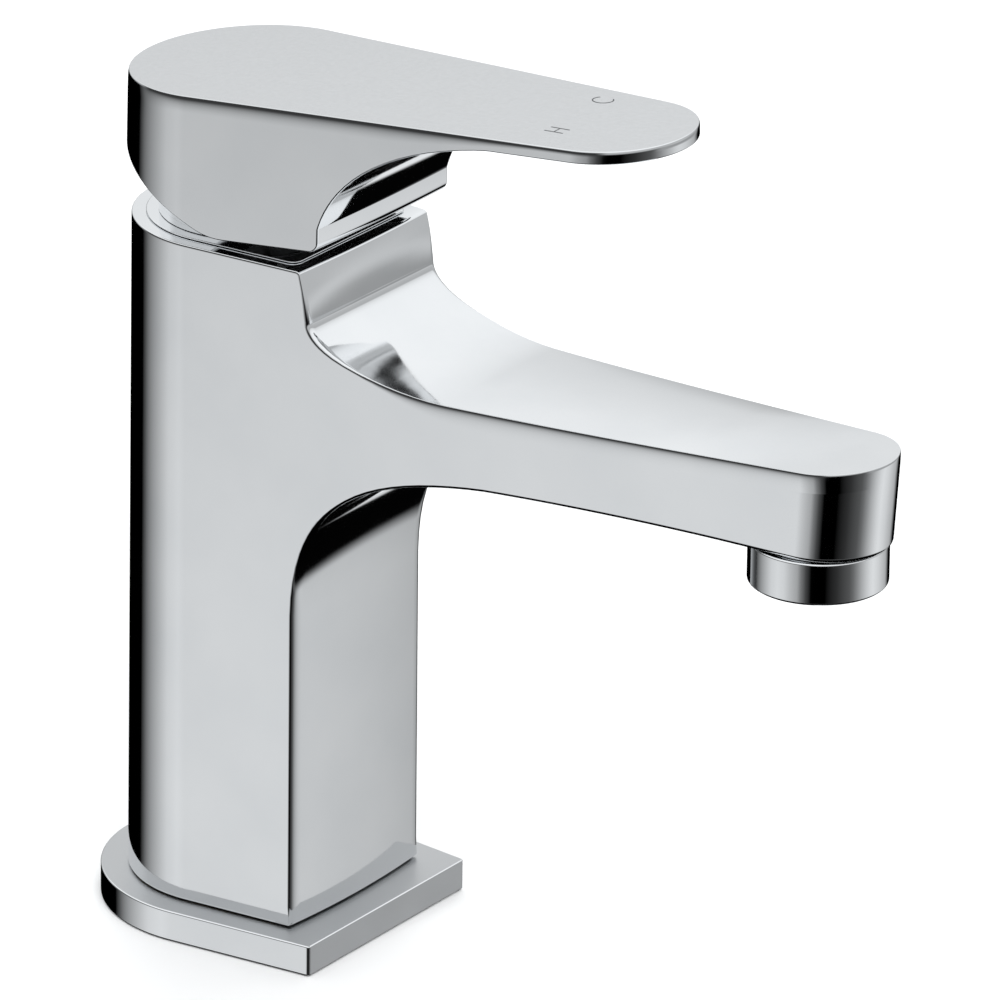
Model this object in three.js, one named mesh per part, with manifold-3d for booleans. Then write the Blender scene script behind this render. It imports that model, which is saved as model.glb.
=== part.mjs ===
// Single-lever basin mixer: a chromed brass body with its spout, a 35 mm ceramic-disc cartridge,
// a lever that lifts for flow and turns for temperature, a base plate and an aerator.
// Millimetres, +Z up. The spout and the lever point along -Y. The origin is on the body's axis,
// on the face that stands on the basin.

import * as THREE from 'three';
import Module from 'manifold-3d';
import { mergeVertices } from 'three/addons/utils/BufferGeometryUtils.js';

const wasm = await Module();
wasm.setup();

// ---- Driving dimensions ----

const GAP = 0.3; // between faces that touch on the real mixer

// The body's plan is a teardrop: a round rear, straight sides and a round tip. It is stated at two
// heights, and the sides run straight between them, which gives the casting its draft.
const PLAN_LOW = { rear: 23.4, tip: 10.9, reach: 128.9 };
const PLAN_HIGH = { rear: 22.35, tip: 13, reach: 136.4 };
const PLAN_HIGH_Z = 150;
const BODY_FOOT = 6.6;
const BODY_TOP = 142.9;
const BODY_WALL = 3.2;
const BODY_FRONT = 27.4; // from the axis to the middle of the bowed front face
const FRONT_BOW_RADIUS = 200;

const SPOUT_UNDERSIDE = 109.1;
const SPOUT_TIP_TOP = 127.6;

const PLATE = { rear: 28.8, centre: -0.1, taper: 0.1, front: 34.1 };
const PLATE_THICKNESS = 6.3;
const PLATE_HOLE_RADIUS = 17.8;
// Each groove is stated from the edge of its outline inward, with its depth.
const SEAL_GROOVE = { outer: 0.7, inner: 2.7, depth: 1.4 };
const GASKET_GROOVE = { outer: 3, inner: 8, depth: 1.6 };
const PLATE_SEAL_HEIGHT = 1.1;
const DECK_GASKET_HEIGHT = 1.3;

const CHAMBER_FLOOR = 106;
const CHAMBER_RADIUS = 17.8;
const NUT_SEAT = 131;
const NUT_THREAD_RADIUS = 19.2;

const INLET = { x: 8, y: 4, radius: 3.8, socketRadius: 5, socketDepth: 14 };
const STUD = { y: -10, radius: 4, depth: 32 };
const BLOCK_TOP = 36; // the inlet block stands under the body's own water column
const SPIGOT = { radius: 4.7, bore: 3.3, height: 4 };
const SOCKET_WALL = 3; // brass round each hose socket
const STUD_WALL = 3.2; // and round the stud hole
const WEB_HALF_WIDTH = 7; // the web that joins the two
const OUTLET_PORT = { y: -9, radius: 3.8 };
const PEG = { x: 13, y: -6, radius: 1.9, hole: 2.3 }; // the two feet of the cartridge

const PIVOT_HEIGHT = 132; // the lever tilts about this height
const SPINDLE_ARM = 8; // from the pivot down to the ball that pushes the discs
const SPINDLE_SIDE = 8;
const SPINDLE_TOP = 166;
const BALL_RADIUS = 2.5;
const SHANK_RADIUS = 1.9;
const PIN = { radius: 1, hole: 1.3 };

const LEVER_LOW = { rear: 23.5, tip: 16.8, reach: 84.5 };
const LEVER_HIGH = { rear: 22.8, tip: 16.1, reach: 84.5 };
const LEVER_LOW_Z = 144;
const LEVER_HIGH_Z = 184;
const LEVER_TOP = 173.1; // on the body's axis
const LEVER_SLOPE = 0.0765;
const LEVER_WALL = 2.7;

const AERATOR_Y = -132.6;
const AERATOR_RADIUS = 13.3;
const AERATOR_MOUTH = 100.3;
const AERATOR_THREAD_RADIUS = 11.1;
const AERATOR_BORE = 9.2;
const AERATOR_LIP = { bore: 8.6, top: 102.3 };
const AERATOR_TOP = 117;

const FINE = 40; // segments round a large circle
const COARSE = 24;

// ---- Materials ----

function finish(colour, roughness, metalness) {
  return new THREE.MeshStandardMaterial({ color: colour, roughness, metalness });
}

const CHROME = finish(0xd6d9dc, 0.08, 1);
const BRASS = finish(0xc2a25a, 0.35, 1);
const STEEL = finish(0xa9adb2, 0.3, 1);
const WHITE_ACETAL = finish(0xe8e8e2, 0.5, 0);
const GREY_ACETAL = finish(0x8d9296, 0.5, 0);
const BLUE_ACETAL = finish(0x3a6ea5, 0.5, 0);
const CERAMIC = finish(0xf1eee6, 0.25, 0);
const RUBBER = finish(0x1d1d1f, 0.8, 0);

// ---- Solids ----

// A closed geometry becomes a solid that can be joined and cut.
function solid(geometry) {
  const bare = geometry.clone();
  bare.deleteAttribute('normal');
  bare.deleteAttribute('uv');
  const merged = mergeVertices(bare, 1e-4);
  const index = Array.from(merged.index.array);
  const faces = [];
  for (let i = 0; i < index.length; i += 3) {
    const [a, b, c] = index.slice(i, i + 3);
    if (a !== b && b !== c && c !== a) faces.push(a, b, c);
  }
  const vertProperties = new Float32Array(merged.attributes.position.array);
  return new wasm.Manifold(
    new wasm.Mesh({ numProp: 3, vertProperties, triVerts: new Uint32Array(faces) }),
  );
}

function geometryOf(piece) {
  const mesh = piece.getMesh();
  const geometry = new THREE.BufferGeometry();
  geometry.setAttribute('position', new THREE.BufferAttribute(mesh.vertProperties, 3));
  geometry.setIndex(new THREE.BufferAttribute(mesh.triVerts, 1));
  geometry.computeVertexNormals();
  return geometry;
}

function joined(pieces) {
  return pieces.reduce((whole, piece) => whole.add(piece));
}

function cut(piece, tools) {
  return tools.reduce((rest, tool) => rest.subtract(tool), piece);
}

// An upright cylinder from z = low to z = high.
function rod(radius, low, high, x = 0, y = 0, segments = COARSE) {
  const geometry = new THREE.CylinderGeometry(radius, radius, high - low, segments);
  geometry.rotateX(Math.PI / 2);
  geometry.translate(x, y, (low + high) / 2);
  return solid(geometry);
}

// A cylinder between two points.
function bar(radius, from, to, segments = COARSE) {
  const start = new THREE.Vector3(...from);
  const along = new THREE.Vector3(...to).sub(start);
  const geometry = new THREE.CylinderGeometry(radius, radius, along.length(), segments);
  geometry.translate(0, along.length() / 2, 0);
  const turn = new THREE.Quaternion().setFromUnitVectors(
    new THREE.Vector3(0, 1, 0),
    along.normalize(),
  );
  geometry.applyQuaternion(turn);
  geometry.translate(start.x, start.y, start.z);
  return solid(geometry);
}

function block(low, high) {
  const size = high.map((value, i) => value - low[i]);
  const geometry = new THREE.BoxGeometry(...size);
  geometry.translate(...low.map((value, i) => value + size[i] / 2));
  return solid(geometry);
}

// A ring turned from [radius, z] corners, listed anticlockwise.
function turned(corners, x = 0, y = 0, segments = FINE) {
  const profile = [...corners, corners[0]].map(([radius, z]) => new THREE.Vector2(radius, z));
  const geometry = new THREE.LatheGeometry(profile, segments);
  geometry.rotateX(Math.PI / 2);
  geometry.translate(x, y, 0);
  return solid(geometry);
}

function ring(inner, outer, low, high, y = 0, segments = FINE) {
  return turned([[inner, low], [outer, low], [outer, high], [inner, high]], 0, y, segments);
}

// An upright prism of a plan outline.
function upright(shape, low, high, divisions = 16) {
  const settings = { depth: high - low, bevelEnabled: false, curveSegments: divisions };
  const geometry = new THREE.ExtrudeGeometry(shape, settings);
  geometry.translate(0, 0, low);
  return solid(geometry);
}

// A prism across the mixer, from a side profile whose coordinates are y and z.
function across(shape, halfWidth, divisions = 12) {
  const settings = { depth: 2 * halfWidth, bevelEnabled: false, curveSegments: divisions };
  const geometry = new THREE.ExtrudeGeometry(shape, settings);
  const basis = new THREE.Matrix4().makeBasis(
    new THREE.Vector3(0, 1, 0),
    new THREE.Vector3(0, 0, 1),
    new THREE.Vector3(1, 0, 0),
  );
  geometry.applyMatrix4(basis);
  geometry.translate(-halfWidth, 0, 0);
  return solid(geometry);
}

function polygon(corners) {
  return new THREE.Shape(corners.map(([u, v]) => new THREE.Vector2(u, v)));
}

// A body whose straight sides run from one plan outline to another with as many points.
function loft(lowShape, low, highShape, high, divisions = 14) {
  const rings = [lowShape, highShape].map((shape) => openPoints(shape, divisions));
  const count = rings[0].length;
  const positions = [];
  rings.forEach((points, i) => points.forEach((p) => positions.push(p.x, p.y, i ? high : low)));
  const index = [];
  for (let i = 0; i < count; i += 1) {
    const next = (i + 1) % count;
    index.push(i, next, count + next);
    index.push(i, count + next, count + i);
  }
  rings.forEach((points, i) => {
    THREE.ShapeUtils.triangulateShape(points, []).forEach(([a, b, c]) => {
      if (i) index.push(count + a, count + b, count + c);
      else index.push(a, c, b);
    });
  });
  const geometry = new THREE.BufferGeometry();
  geometry.setAttribute('position', new THREE.Float32BufferAttribute(positions, 3));
  geometry.setIndex(index);
  return solid(geometry);
}

function openPoints(shape, divisions) {
  const points = shape.getPoints(divisions);
  if (points[0].distanceTo(points[points.length - 1]) < 1e-6) points.pop();
  return points;
}

// ---- Outlines ----

function between(low, high, t) {
  const mix = (key) => low[key] + (high[key] - low[key]) * t;
  return { rear: mix('rear'), tip: mix('tip'), reach: mix('reach') };
}

function bodyPlan(z) {
  return between(PLAN_LOW, PLAN_HIGH, z / PLAN_HIGH_Z);
}

function teardrop({ rear, tip, reach }, inset = 0) {
  const taper = Math.asin((rear - tip) / reach);
  const shape = new THREE.Shape();
  shape.absarc(0, 0, rear - inset, -taper, Math.PI + taper);
  shape.absarc(0, -reach, tip - inset, Math.PI + taper, 2 * Math.PI - taper);
  shape.closePath();
  return shape;
}

// A round rear, straight sides that close in by the taper, and a square front.
function dOutline({ rear, centre, taper, front }, inset = 0) {
  const radius = rear - inset;
  const depth = front - inset + centre;
  const halfFront = (radius - depth * Math.sin(taper)) / Math.cos(taper);
  const shape = new THREE.Shape();
  shape.moveTo(-halfFront, centre - depth);
  shape.lineTo(halfFront, centre - depth);
  shape.absarc(0, centre, radius, -taper, Math.PI + taper);
  shape.closePath();
  return shape;
}

function bodyDOutline(z, front) {
  const { rear, tip, reach } = bodyPlan(z);
  return { rear, centre: 0, taper: Math.asin((rear - tip) / reach), front };
}

function dRing(outline, outerInset, innerInset, low, high) {
  const shape = dOutline(outline, outerInset);
  shape.holes.push(dOutline(outline, innerInset));
  return upright(shape, low, high, 10);
}

// The side profile of the spout: from the top rim down the front band, out along the top, round
// the tip and back under it, down the long curve into the front face.
function spoutProfile() {
  const past = 152;
  const shape = new THREE.Shape();
  shape.moveTo(-15, BODY_TOP);
  shape.lineTo(-27.2, BODY_TOP);
  shape.lineTo(-29.5, 133.1);
  shape.bezierCurveTo(-29.5, 127.5, -45.8, 122.5, -60, 122.9);
  shape.quadraticCurveTo(-88, 123.6, -past, SPOUT_TIP_TOP);
  shape.lineTo(-past, SPOUT_UNDERSIDE);
  shape.lineTo(-118, SPOUT_UNDERSIDE);
  shape.quadraticCurveTo(-92, SPOUT_UNDERSIDE - 0.2, -67.6, 107.2);
  shape.bezierCurveTo(-42.1, 104.3, -26.3, 97, -26.3, 71);
  shape.lineTo(-15, 71);
  shape.closePath();
  return shape;
}

// ---- Body ----

function bodyOuter() {
  const plan = loft(teardrop(PLAN_LOW), 0, teardrop(PLAN_HIGH), PLAN_HIGH_Z);
  const bow = new THREE.CylinderGeometry(FRONT_BOW_RADIUS, FRONT_BOW_RADIUS, 160, 240);
  bow.rotateX(Math.PI / 2);
  bow.translate(0, FRONT_BOW_RADIUS - BODY_FRONT, 80);
  const column = plan
    .intersect(solid(bow))
    .intersect(block([-30, -40, BODY_FOOT], [30, 30, BODY_TOP]));
  return column.add(plan.intersect(across(spoutProfile(), 40)));
}

// The open core under the casting, with the lobed water column left in it above the inlet block.
function bodyCore() {
  const ceiling = 94;
  const foot = bodyDOutline(BODY_FOOT, BODY_FRONT - 1);
  const head = bodyDOutline(ceiling, BODY_FRONT - 1);
  const low = BODY_FOOT - 1;
  const core = loft(dOutline(foot, BODY_WALL), low, dOutline(head, BODY_WALL), ceiling, 10);
  return core.subtract(inletColumn(BLOCK_TOP + GAP, ceiling + 1));
}

function inletColumn(low, high) {
  const lobe = INLET.socketRadius + SOCKET_WALL;
  return joined([
    rod(lobe, low, high, -INLET.x, INLET.y),
    rod(lobe, low, high, INLET.x, INLET.y),
    rod(STUD.radius + STUD_WALL, low, high, 0, STUD.y),
    block([-WEB_HALF_WIDTH, STUD.y, low], [WEB_HALF_WIDTH, INLET.y, high]),
  ]);
}

// The hollow of the spout, from the foot of the cartridge chamber to the aerator's socket.
function spoutHollow() {
  const profile = polygon([[-24, 97], [-33, 99.5], [-45, 106.2], [-62, 110.3], [-124, 112.6],
    [-124, 119], [-62, 119], [-46, 120.6], [-36, 123.5], [-24, 127]]);
  const inner = loft(teardrop(PLAN_LOW, BODY_WALL), 0, teardrop(PLAN_HIGH, BODY_WALL), PLAN_HIGH_Z);
  return inner.intersect(across(profile, 40));
}

function waterways() {
  const seat = BLOCK_TOP + SPIGOT.height + GAP;
  const inlets = [-INLET.x, INLET.x].flatMap((x) => [
    rod(SPIGOT.radius + GAP, BLOCK_TOP, seat, x, INLET.y),
    rod(INLET.radius, seat - 1, CHAMBER_FLOOR + 1, x, INLET.y),
  ]);
  return [
    ...inlets,
    rod(OUTLET_PORT.radius, 97, CHAMBER_FLOOR + 1, 0, OUTLET_PORT.y),
    bar(OUTLET_PORT.radius, [0, OUTLET_PORT.y, 101], [0, -28, 104]),
    spoutHollow(),
    rod(AERATOR_THREAD_RADIUS + GAP, SPOUT_UNDERSIDE - 1, 119, 0, AERATOR_Y, FINE),
  ];
}

function pegs(radius, low, high) {
  return [-1, 1].map((side) => rod(radius, low, high, PEG.x * side, PEG.y, 16));
}

function body() {
  const chamber = rod(CHAMBER_RADIUS, CHAMBER_FLOOR, BODY_TOP + 1, 0, 0, FINE);
  const mouth = rod(NUT_THREAD_RADIUS, NUT_SEAT, BODY_TOP + 1, 0, 0, FINE);
  const pegHoles = pegs(PEG.hole, CHAMBER_FLOOR - 4, CHAMBER_FLOOR + 1);
  return cut(bodyOuter().subtract(bodyCore()), [chamber, mouth, ...pegHoles, ...waterways()]);
}

// The block in the foot of the body takes both hoses and the fixing stud. Its two spigots carry
// the water up into the body's column.
function inletBlock() {
  const sides = [-INLET.x, INLET.x];
  const spigots = sides.map((x) => (
    rod(SPIGOT.radius, BLOCK_TOP - 1, BLOCK_TOP + SPIGOT.height, x, INLET.y)
  ));
  const ways = sides.flatMap((x) => [
    rod(INLET.socketRadius, -1, INLET.socketDepth, x, INLET.y),
    rod(SPIGOT.bore, INLET.socketDepth - 1, BLOCK_TOP + SPIGOT.height + 1, x, INLET.y),
  ]);
  const stud = rod(STUD.radius, -1, STUD.depth, 0, STUD.y);
  return cut(joined([inletColumn(0, BLOCK_TOP), ...spigots]), [stud, ...ways]);
}

// ---- Base plate and its seals ----

function basePlate() {
  const plate = upright(dOutline(PLATE), 0, PLATE_THICKNESS, 14);
  const hole = rod(PLATE_HOLE_RADIUS, -1, PLATE_THICKNESS + 1, 0, 0, FINE);
  const foot = bodyDOutline(BODY_FOOT, BODY_FRONT - 1);
  const seal = SEAL_GROOVE;
  const gasket = GASKET_GROOVE;
  const top = PLATE_THICKNESS + 1;
  const sealGroove = dRing(foot, seal.outer, seal.inner, PLATE_THICKNESS - seal.depth, top);
  const gasketGroove = dRing(PLATE, gasket.outer, gasket.inner, -1, gasket.depth);
  return cut(plate, [hole, sealGroove, gasketGroove]);
}

function plateSeal() {
  const foot = bodyDOutline(BODY_FOOT, BODY_FRONT - 1);
  const low = PLATE_THICKNESS - PLATE_SEAL_HEIGHT;
  return dRing(foot, SEAL_GROOVE.outer + GAP, SEAL_GROOVE.inner - GAP, low, PLATE_THICKNESS);
}

function deckGasket() {
  const { outer, inner } = GASKET_GROOVE;
  return dRing(PLATE, outer + GAP, inner - GAP, 0, DECK_GASKET_HEIGHT);
}

// ---- Top trim ----

const TRIM_TOP = BODY_TOP + GAP + 1.2;
const TRIM_INSET = 2.8;
const NECK_TOP = 147.4;
const NECK_RIM = 1.2; // thickness of the rim that turns in over the carrier

function trimPlate() {
  const edge = bodyDOutline(BODY_TOP, BODY_FRONT);
  const disc = upright(dOutline(edge, TRIM_INSET), BODY_TOP + GAP, TRIM_TOP);
  const neck = turned([[14.6, 138], [15.8, 138], [15.8, TRIM_TOP - 0.4], [17.2, TRIM_TOP - 0.4],
    [17.2, NECK_TOP - 0.6], [16.6, NECK_TOP], [12.8, NECK_TOP], [12.8, NECK_TOP - NECK_RIM],
    [14.6, NECK_TOP - NECK_RIM]]);
  return disc.subtract(rod(15.2, 130, 150, 0, 0, FINE)).add(neck);
}

// ---- Cartridge ----

const HOUSING_RADIUS = 17.4;
const HOUSING_BORE = 15.4;
const HOUSING_TOP = NUT_SEAT;
const HOUSING_ROOF = 2.4;
const NUT = { bore: 13.6, collar: 16.2, floor: 2.2 };
const PORT_HOLE = { base: 3.6, seal: 3.9, disc: 3.2 };
const FIXED_DISC_RADIUS = 14;
const MOVING_DISC_RADIUS = 11;
const BASE_LOW = 107.5;
const BASE_TOP = 111.9;
const FIXED_DISC_LOW = 113.3;
const DISC_THICKNESS = 2.8;
const MOVING_DISC_LOW = FIXED_DISC_LOW + DISC_THICKNESS + GAP;
const CARRIAGE_LOW = MOVING_DISC_LOW + DISC_THICKNESS + GAP;
const CARRIAGE_TOP = 126.1;
const CARRIER_RADIUS = 11.4;

function ports(radius, low, high) {
  return [
    rod(radius, low, high, -INLET.x, INLET.y, 20),
    rod(radius, low, high, INLET.x, INLET.y, 20),
    rod(radius, low, high, 0, OUTLET_PORT.y, 20),
  ];
}

function cartridgeNut() {
  const thread = NUT_THREAD_RADIUS - GAP;
  const top = BODY_TOP - GAP;
  const low = HOUSING_TOP + GAP;
  const floor = low + NUT.floor;
  const nut = turned([[NUT.bore, low], [thread, low], [thread, top], [NUT.collar, top],
    [NUT.collar, floor], [NUT.bore, floor]]);
  const spannerSlots = [0, 1, 2, 3].map((i) => {
    const angle = (i * Math.PI) / 4;
    const reach = [18 * Math.cos(angle), 18 * Math.sin(angle)];
    return bar(1.3, [-reach[0], -reach[1], top], [reach[0], reach[1], top], 12);
  });
  return cut(nut, spannerSlots);
}

function cartridgeHousing() {
  const low = BASE_TOP + GAP;
  const hole = CARRIER_RADIUS + 1.7;
  return turned([[HOUSING_BORE, low], [HOUSING_RADIUS, low], [HOUSING_RADIUS, HOUSING_TOP],
    [hole, HOUSING_TOP], [hole, HOUSING_TOP - HOUSING_ROOF],
    [HOUSING_BORE, HOUSING_TOP - HOUSING_ROOF]]);
}

function cartridgeBase() {
  const floor = rod(HOUSING_RADIUS, BASE_LOW, BASE_TOP, 0, 0, FINE);
  const spigot = rod(HOUSING_BORE - GAP, BASE_TOP - 1, FIXED_DISC_LOW - GAP, 0, 0, FINE);
  const feet = pegs(PEG.radius, CHAMBER_FLOOR - 3, BASE_LOW + 1);
  return cut(joined([floor, spigot, ...feet]), ports(PORT_HOLE.base, BASE_LOW - 1, BASE_TOP + 3));
}

function portSeal() {
  const low = CHAMBER_FLOOR + GAP;
  const high = BASE_LOW - GAP;
  const rims = ports(5.2, low, high);
  const web = cut(rod(9.5, low, high), [rod(7.6, low - 1, high + 1)]);
  return cut(joined([web, ...rims]), ports(PORT_HOLE.seal, low - 1, high + 1));
}

function fixedDisc() {
  const high = FIXED_DISC_LOW + DISC_THICKNESS;
  const disc = rod(FIXED_DISC_RADIUS, FIXED_DISC_LOW, high, 0, 0, FINE);
  return cut(disc, ports(PORT_HOLE.disc, FIXED_DISC_LOW - 1, high + 1));
}

// The pocket under the moving disc joins the inlets to the outlet when the lever is lifted.
function movingDisc() {
  const high = MOVING_DISC_LOW + DISC_THICKNESS;
  const disc = rod(MOVING_DISC_RADIUS, MOVING_DISC_LOW, high, 0, 0, FINE);
  const pocket = rod(6, MOVING_DISC_LOW - 1, MOVING_DISC_LOW + 1.8, 0, -2);
  return disc.subtract(pocket);
}

// The carriage slides between two rails of the spindle carrier, and holds the spindle's ball.
function discCarriage() {
  const plate = rod(MOVING_DISC_RADIUS, CARRIAGE_LOW, CARRIAGE_TOP, 0, 0, FINE);
  const flats = [-1, 1].map((side) => {
    const x = [9 * side, 14 * side].sort((a, b) => a - b);
    return block([x[0], -14, CARRIAGE_LOW + 1.5], [x[1], 14, CARRIAGE_TOP + 1]);
  });
  const ballPocket = block([-3.2, -3.2, CARRIAGE_LOW + 1.6], [3.2, 3.2, CARRIAGE_TOP + 1]);
  return cut(plate, [...flats, ballPocket]);
}

function spindleCarrier() {
  const flangeLow = CARRIAGE_TOP + GAP;
  const flangeTop = HOUSING_TOP - HOUSING_ROOF - GAP;
  const top = 141;
  const flange = rod(HOUSING_BORE - 0.4, flangeLow, flangeTop, 0, 0, FINE);
  const neck = rod(CARRIER_RADIUS, flangeTop - 1, top, 0, 0, FINE);
  const rails = [-1, 1].map((side) => {
    const x = [9.4 * side, 11.6 * side].sort((a, b) => a - b);
    return block([x[0], -9, CARRIAGE_LOW + 1.9], [x[1], 9, flangeLow + 1]);
  });
  const half = SPINDLE_SIDE / 2 + 0.4;
  const slot = block([-half, -6.6, flangeLow - 1], [half, 9, top + 1]);
  const pinHole = bar(PIN.hole, [-20, 0, PIVOT_HEIGHT], [20, 0, PIVOT_HEIGHT], 20);
  return cut(joined([flange, neck, ...rails]), [slot, pinHole]);
}

function carrierSeal() {
  const geometry = new THREE.TorusGeometry(CARRIER_RADIUS + 0.85, 0.55, 6, 40);
  geometry.translate(0, 0, HOUSING_TOP - 1.2);
  return solid(geometry);
}

// The stop ring turns with the carrier. Its tongue meets the housing at the hot end.
function temperatureStop() {
  const low = NUT_SEAT + 3;
  const band = ring(CARRIER_RADIUS + GAP, 13.4, low, low + 2);
  const teeth = [];
  for (let i = 0; i < 12; i += 1) {
    const angle = (i * Math.PI) / 6;
    teeth.push(rod(0.9, low, low + 2, 13.5 * Math.cos(angle), 13.5 * Math.sin(angle), 6));
  }
  const tongue = block([-2, 13, low], [2, 15.6, low + 2]);
  return joined([band, ...teeth, tongue]);
}

function spindle() {
  const half = SPINDLE_SIDE / 2;
  const ball = new THREE.SphereGeometry(BALL_RADIUS, 16, 10);
  ball.rotateX(Math.PI / 2);
  ball.translate(0, 0, PIVOT_HEIGHT - SPINDLE_ARM);
  const shank = joined([
    block([-half, -half, PIVOT_HEIGHT - 3], [half, half, SPINDLE_TOP]),
    rod(SHANK_RADIUS, PIVOT_HEIGHT - SPINDLE_ARM, PIVOT_HEIGHT - 2.5, 0, 0, 12),
    solid(ball),
  ]);
  const pinHole = bar(PIN.hole, [-9, 0, PIVOT_HEIGHT], [9, 0, PIVOT_HEIGHT], 20);
  return shank.subtract(pinHole);
}

function spindlePin() {
  const half = CARRIER_RADIUS - GAP;
  return bar(PIN.radius, [-half, 0, PIVOT_HEIGHT], [half, 0, PIVOT_HEIGHT], 20);
}

// ---- Lever ----

const HUB_CEILING = 169.4;
const HUB_FRONT = 31.8;
const BOSS_LOW = 156;
const BOSS_RADIUS = 8;
const SCREW_HEIGHT = 163;
const SCREW = { radius: 2.2, hole: 2.5, length: 5 };
const CAP = { radius: 2.9, hole: 3.2, head: 3.9 };

// The side profile of the lever: a flat sloping top, a thin blade, a hollow curve down the front
// of the hub, a level foot, and a rear bevel that leaves room for the hub to tilt back.
function leverProfile() {
  const top = (y) => LEVER_TOP - LEVER_SLOPE * y;
  const shape = new THREE.Shape();
  shape.moveTo(30, top(30));
  shape.lineTo(-110, top(-110));
  shape.lineTo(-110, top(-110) - 2.6);
  shape.lineTo(-68, 175.7);
  shape.bezierCurveTo(-46.1, 172.1, -HUB_FRONT, 162.2, -HUB_FRONT, 147.9);
  shape.lineTo(-7, 145.6);
  shape.lineTo(30, 162);
  shape.closePath();
  return shape;
}

function hubHollow() {
  const outline = (plan) => dOutline({
    rear: plan.rear,
    centre: 0,
    taper: Math.asin((plan.rear - plan.tip) / plan.reach),
    front: HUB_FRONT,
  }, LEVER_WALL);
  return loft(outline(LEVER_LOW), LEVER_LOW_Z - 4, outline(LEVER_HIGH), HUB_CEILING, 12);
}

function handle() {
  const plan = loft(teardrop(LEVER_LOW), LEVER_LOW_Z, teardrop(LEVER_HIGH), LEVER_HIGH_Z, 16);
  const outer = plan.intersect(across(leverProfile(), 40, 16));
  const boss = rod(BOSS_RADIUS, BOSS_LOW, HUB_CEILING + 1);
  const half = SPINDLE_SIDE / 2 + GAP;
  const socket = block([-half, -half, BOSS_LOW - 1], [half, half, SPINDLE_TOP + GAP]);
  const screwHole = bar(SCREW.hole, [0, 0, SCREW_HEIGHT], [0, 12, SCREW_HEIGHT], 20);
  const accessHole = bar(CAP.hole, [0, 15, SCREW_HEIGHT], [0, 30, SCREW_HEIGHT], 24);
  const shell = outer.subtract(hubHollow()).add(boss);
  return cut(shell, [socket, screwHole, accessHole]);
}

function grubScrew() {
  const start = SPINDLE_SIDE / 2 + GAP;
  const end = start + SCREW.length;
  const screw = bar(SCREW.radius, [0, start, SCREW_HEIGHT], [0, end, SCREW_HEIGHT], 20);
  const key = bar(1.2, [0, start + 2.8, SCREW_HEIGHT], [0, end + 1, SCREW_HEIGHT], 6);
  return screw.subtract(key);
}

function screwCap() {
  const outside = 23.5;
  const plug = bar(CAP.radius, [0, 20.4, SCREW_HEIGHT], [0, outside + 0.2, SCREW_HEIGHT], 24);
  const head = bar(CAP.head, [0, outside, SCREW_HEIGHT], [0, outside + 0.8, SCREW_HEIGHT], 24);
  return plug.add(head);
}

// ---- Aerator ----

function aeratorHousing() {
  const shoulder = SPOUT_UNDERSIDE - 0.4;
  const thread = AERATOR_THREAD_RADIUS;
  const lip = AERATOR_LIP;
  return turned([[lip.bore, AERATOR_MOUTH], [AERATOR_RADIUS - 0.5, AERATOR_MOUTH],
    [AERATOR_RADIUS, AERATOR_MOUTH + 0.5], [AERATOR_RADIUS, shoulder], [thread, shoulder],
    [thread, AERATOR_TOP], [AERATOR_BORE, AERATOR_TOP], [AERATOR_BORE, lip.top],
    [lip.bore, lip.top]], 0, AERATOR_Y);
}

// A disc of the aerator, with rings of round holes listed as [ring radius, count, hole radius].
function piercedDisc(low, high, holeRings) {
  const holes = holeRings.flatMap(([ringRadius, count, radius]) => {
    const angles = Array.from({ length: count }, (_, i) => (2 * Math.PI * i) / count);
    return angles.map((angle) => {
      const x = ringRadius * Math.cos(angle);
      const y = AERATOR_Y + ringRadius * Math.sin(angle);
      return rod(radius, low - 1, high + 1, x, y, 6);
    });
  });
  return cut(rod(AERATOR_BORE - GAP, low, high, 0, AERATOR_Y, 36), holes);
}

function aeratorScreen() {
  return piercedDisc(102.6, 103.6, [[0, 1, 1], [3, 6, 1], [6, 12, 1.05]]);
}

function aeratorInsert() {
  return piercedDisc(103.9, 111, [[4, 6, 1.1], [7, 10, 0.8]]);
}

function flowRegulator() {
  return piercedDisc(111.3, 114.3, [[3.6, 5, 0.9]]);
}

function aeratorWasher() {
  return ring(AERATOR_LIP.bore, AERATOR_THREAD_RADIUS - 0.1, 117.3, 118.7, AERATOR_Y);
}

// ---- The mixer ----

const mixer = new THREE.Group();

function add(name, piece, material) {
  const mesh = new THREE.Mesh(geometryOf(piece), material);
  mesh.name = name;
  mixer.add(mesh);
}

add('body', body(), CHROME);
add('inlet_block', inletBlock(), BRASS);
add('base_plate', basePlate(), CHROME);
add('plate_seal', plateSeal(), RUBBER);
add('deck_gasket', deckGasket(), RUBBER);
add('trim_plate', trimPlate(), CHROME);
add('cartridge_nut', cartridgeNut(), BRASS);
add('cartridge_housing', cartridgeHousing(), WHITE_ACETAL);
add('cartridge_base', cartridgeBase(), WHITE_ACETAL);
add('port_seal', portSeal(), RUBBER);
add('fixed_disc', fixedDisc(), CERAMIC);
add('moving_disc', movingDisc(), CERAMIC);
add('disc_carriage', discCarriage(), GREY_ACETAL);
add('spindle_carrier', spindleCarrier(), GREY_ACETAL);
add('carrier_seal', carrierSeal(), RUBBER);
add('temperature_stop', temperatureStop(), BLUE_ACETAL);
add('spindle', spindle(), STEEL);
add('spindle_pin', spindlePin(), STEEL);
add('handle', handle(), CHROME);
add('grub_screw', grubScrew(), STEEL);
add('screw_cap', screwCap(), CHROME);
add('aerator_housing', aeratorHousing(), CHROME);
add('aerator_washer', aeratorWasher(), RUBBER);
add('aerator_insert', aeratorInsert(), WHITE_ACETAL);
add('flow_regulator', flowRegulator(), GREY_ACETAL);
add('aerator_screen', aeratorScreen(), STEEL);

export default mixer;
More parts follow.
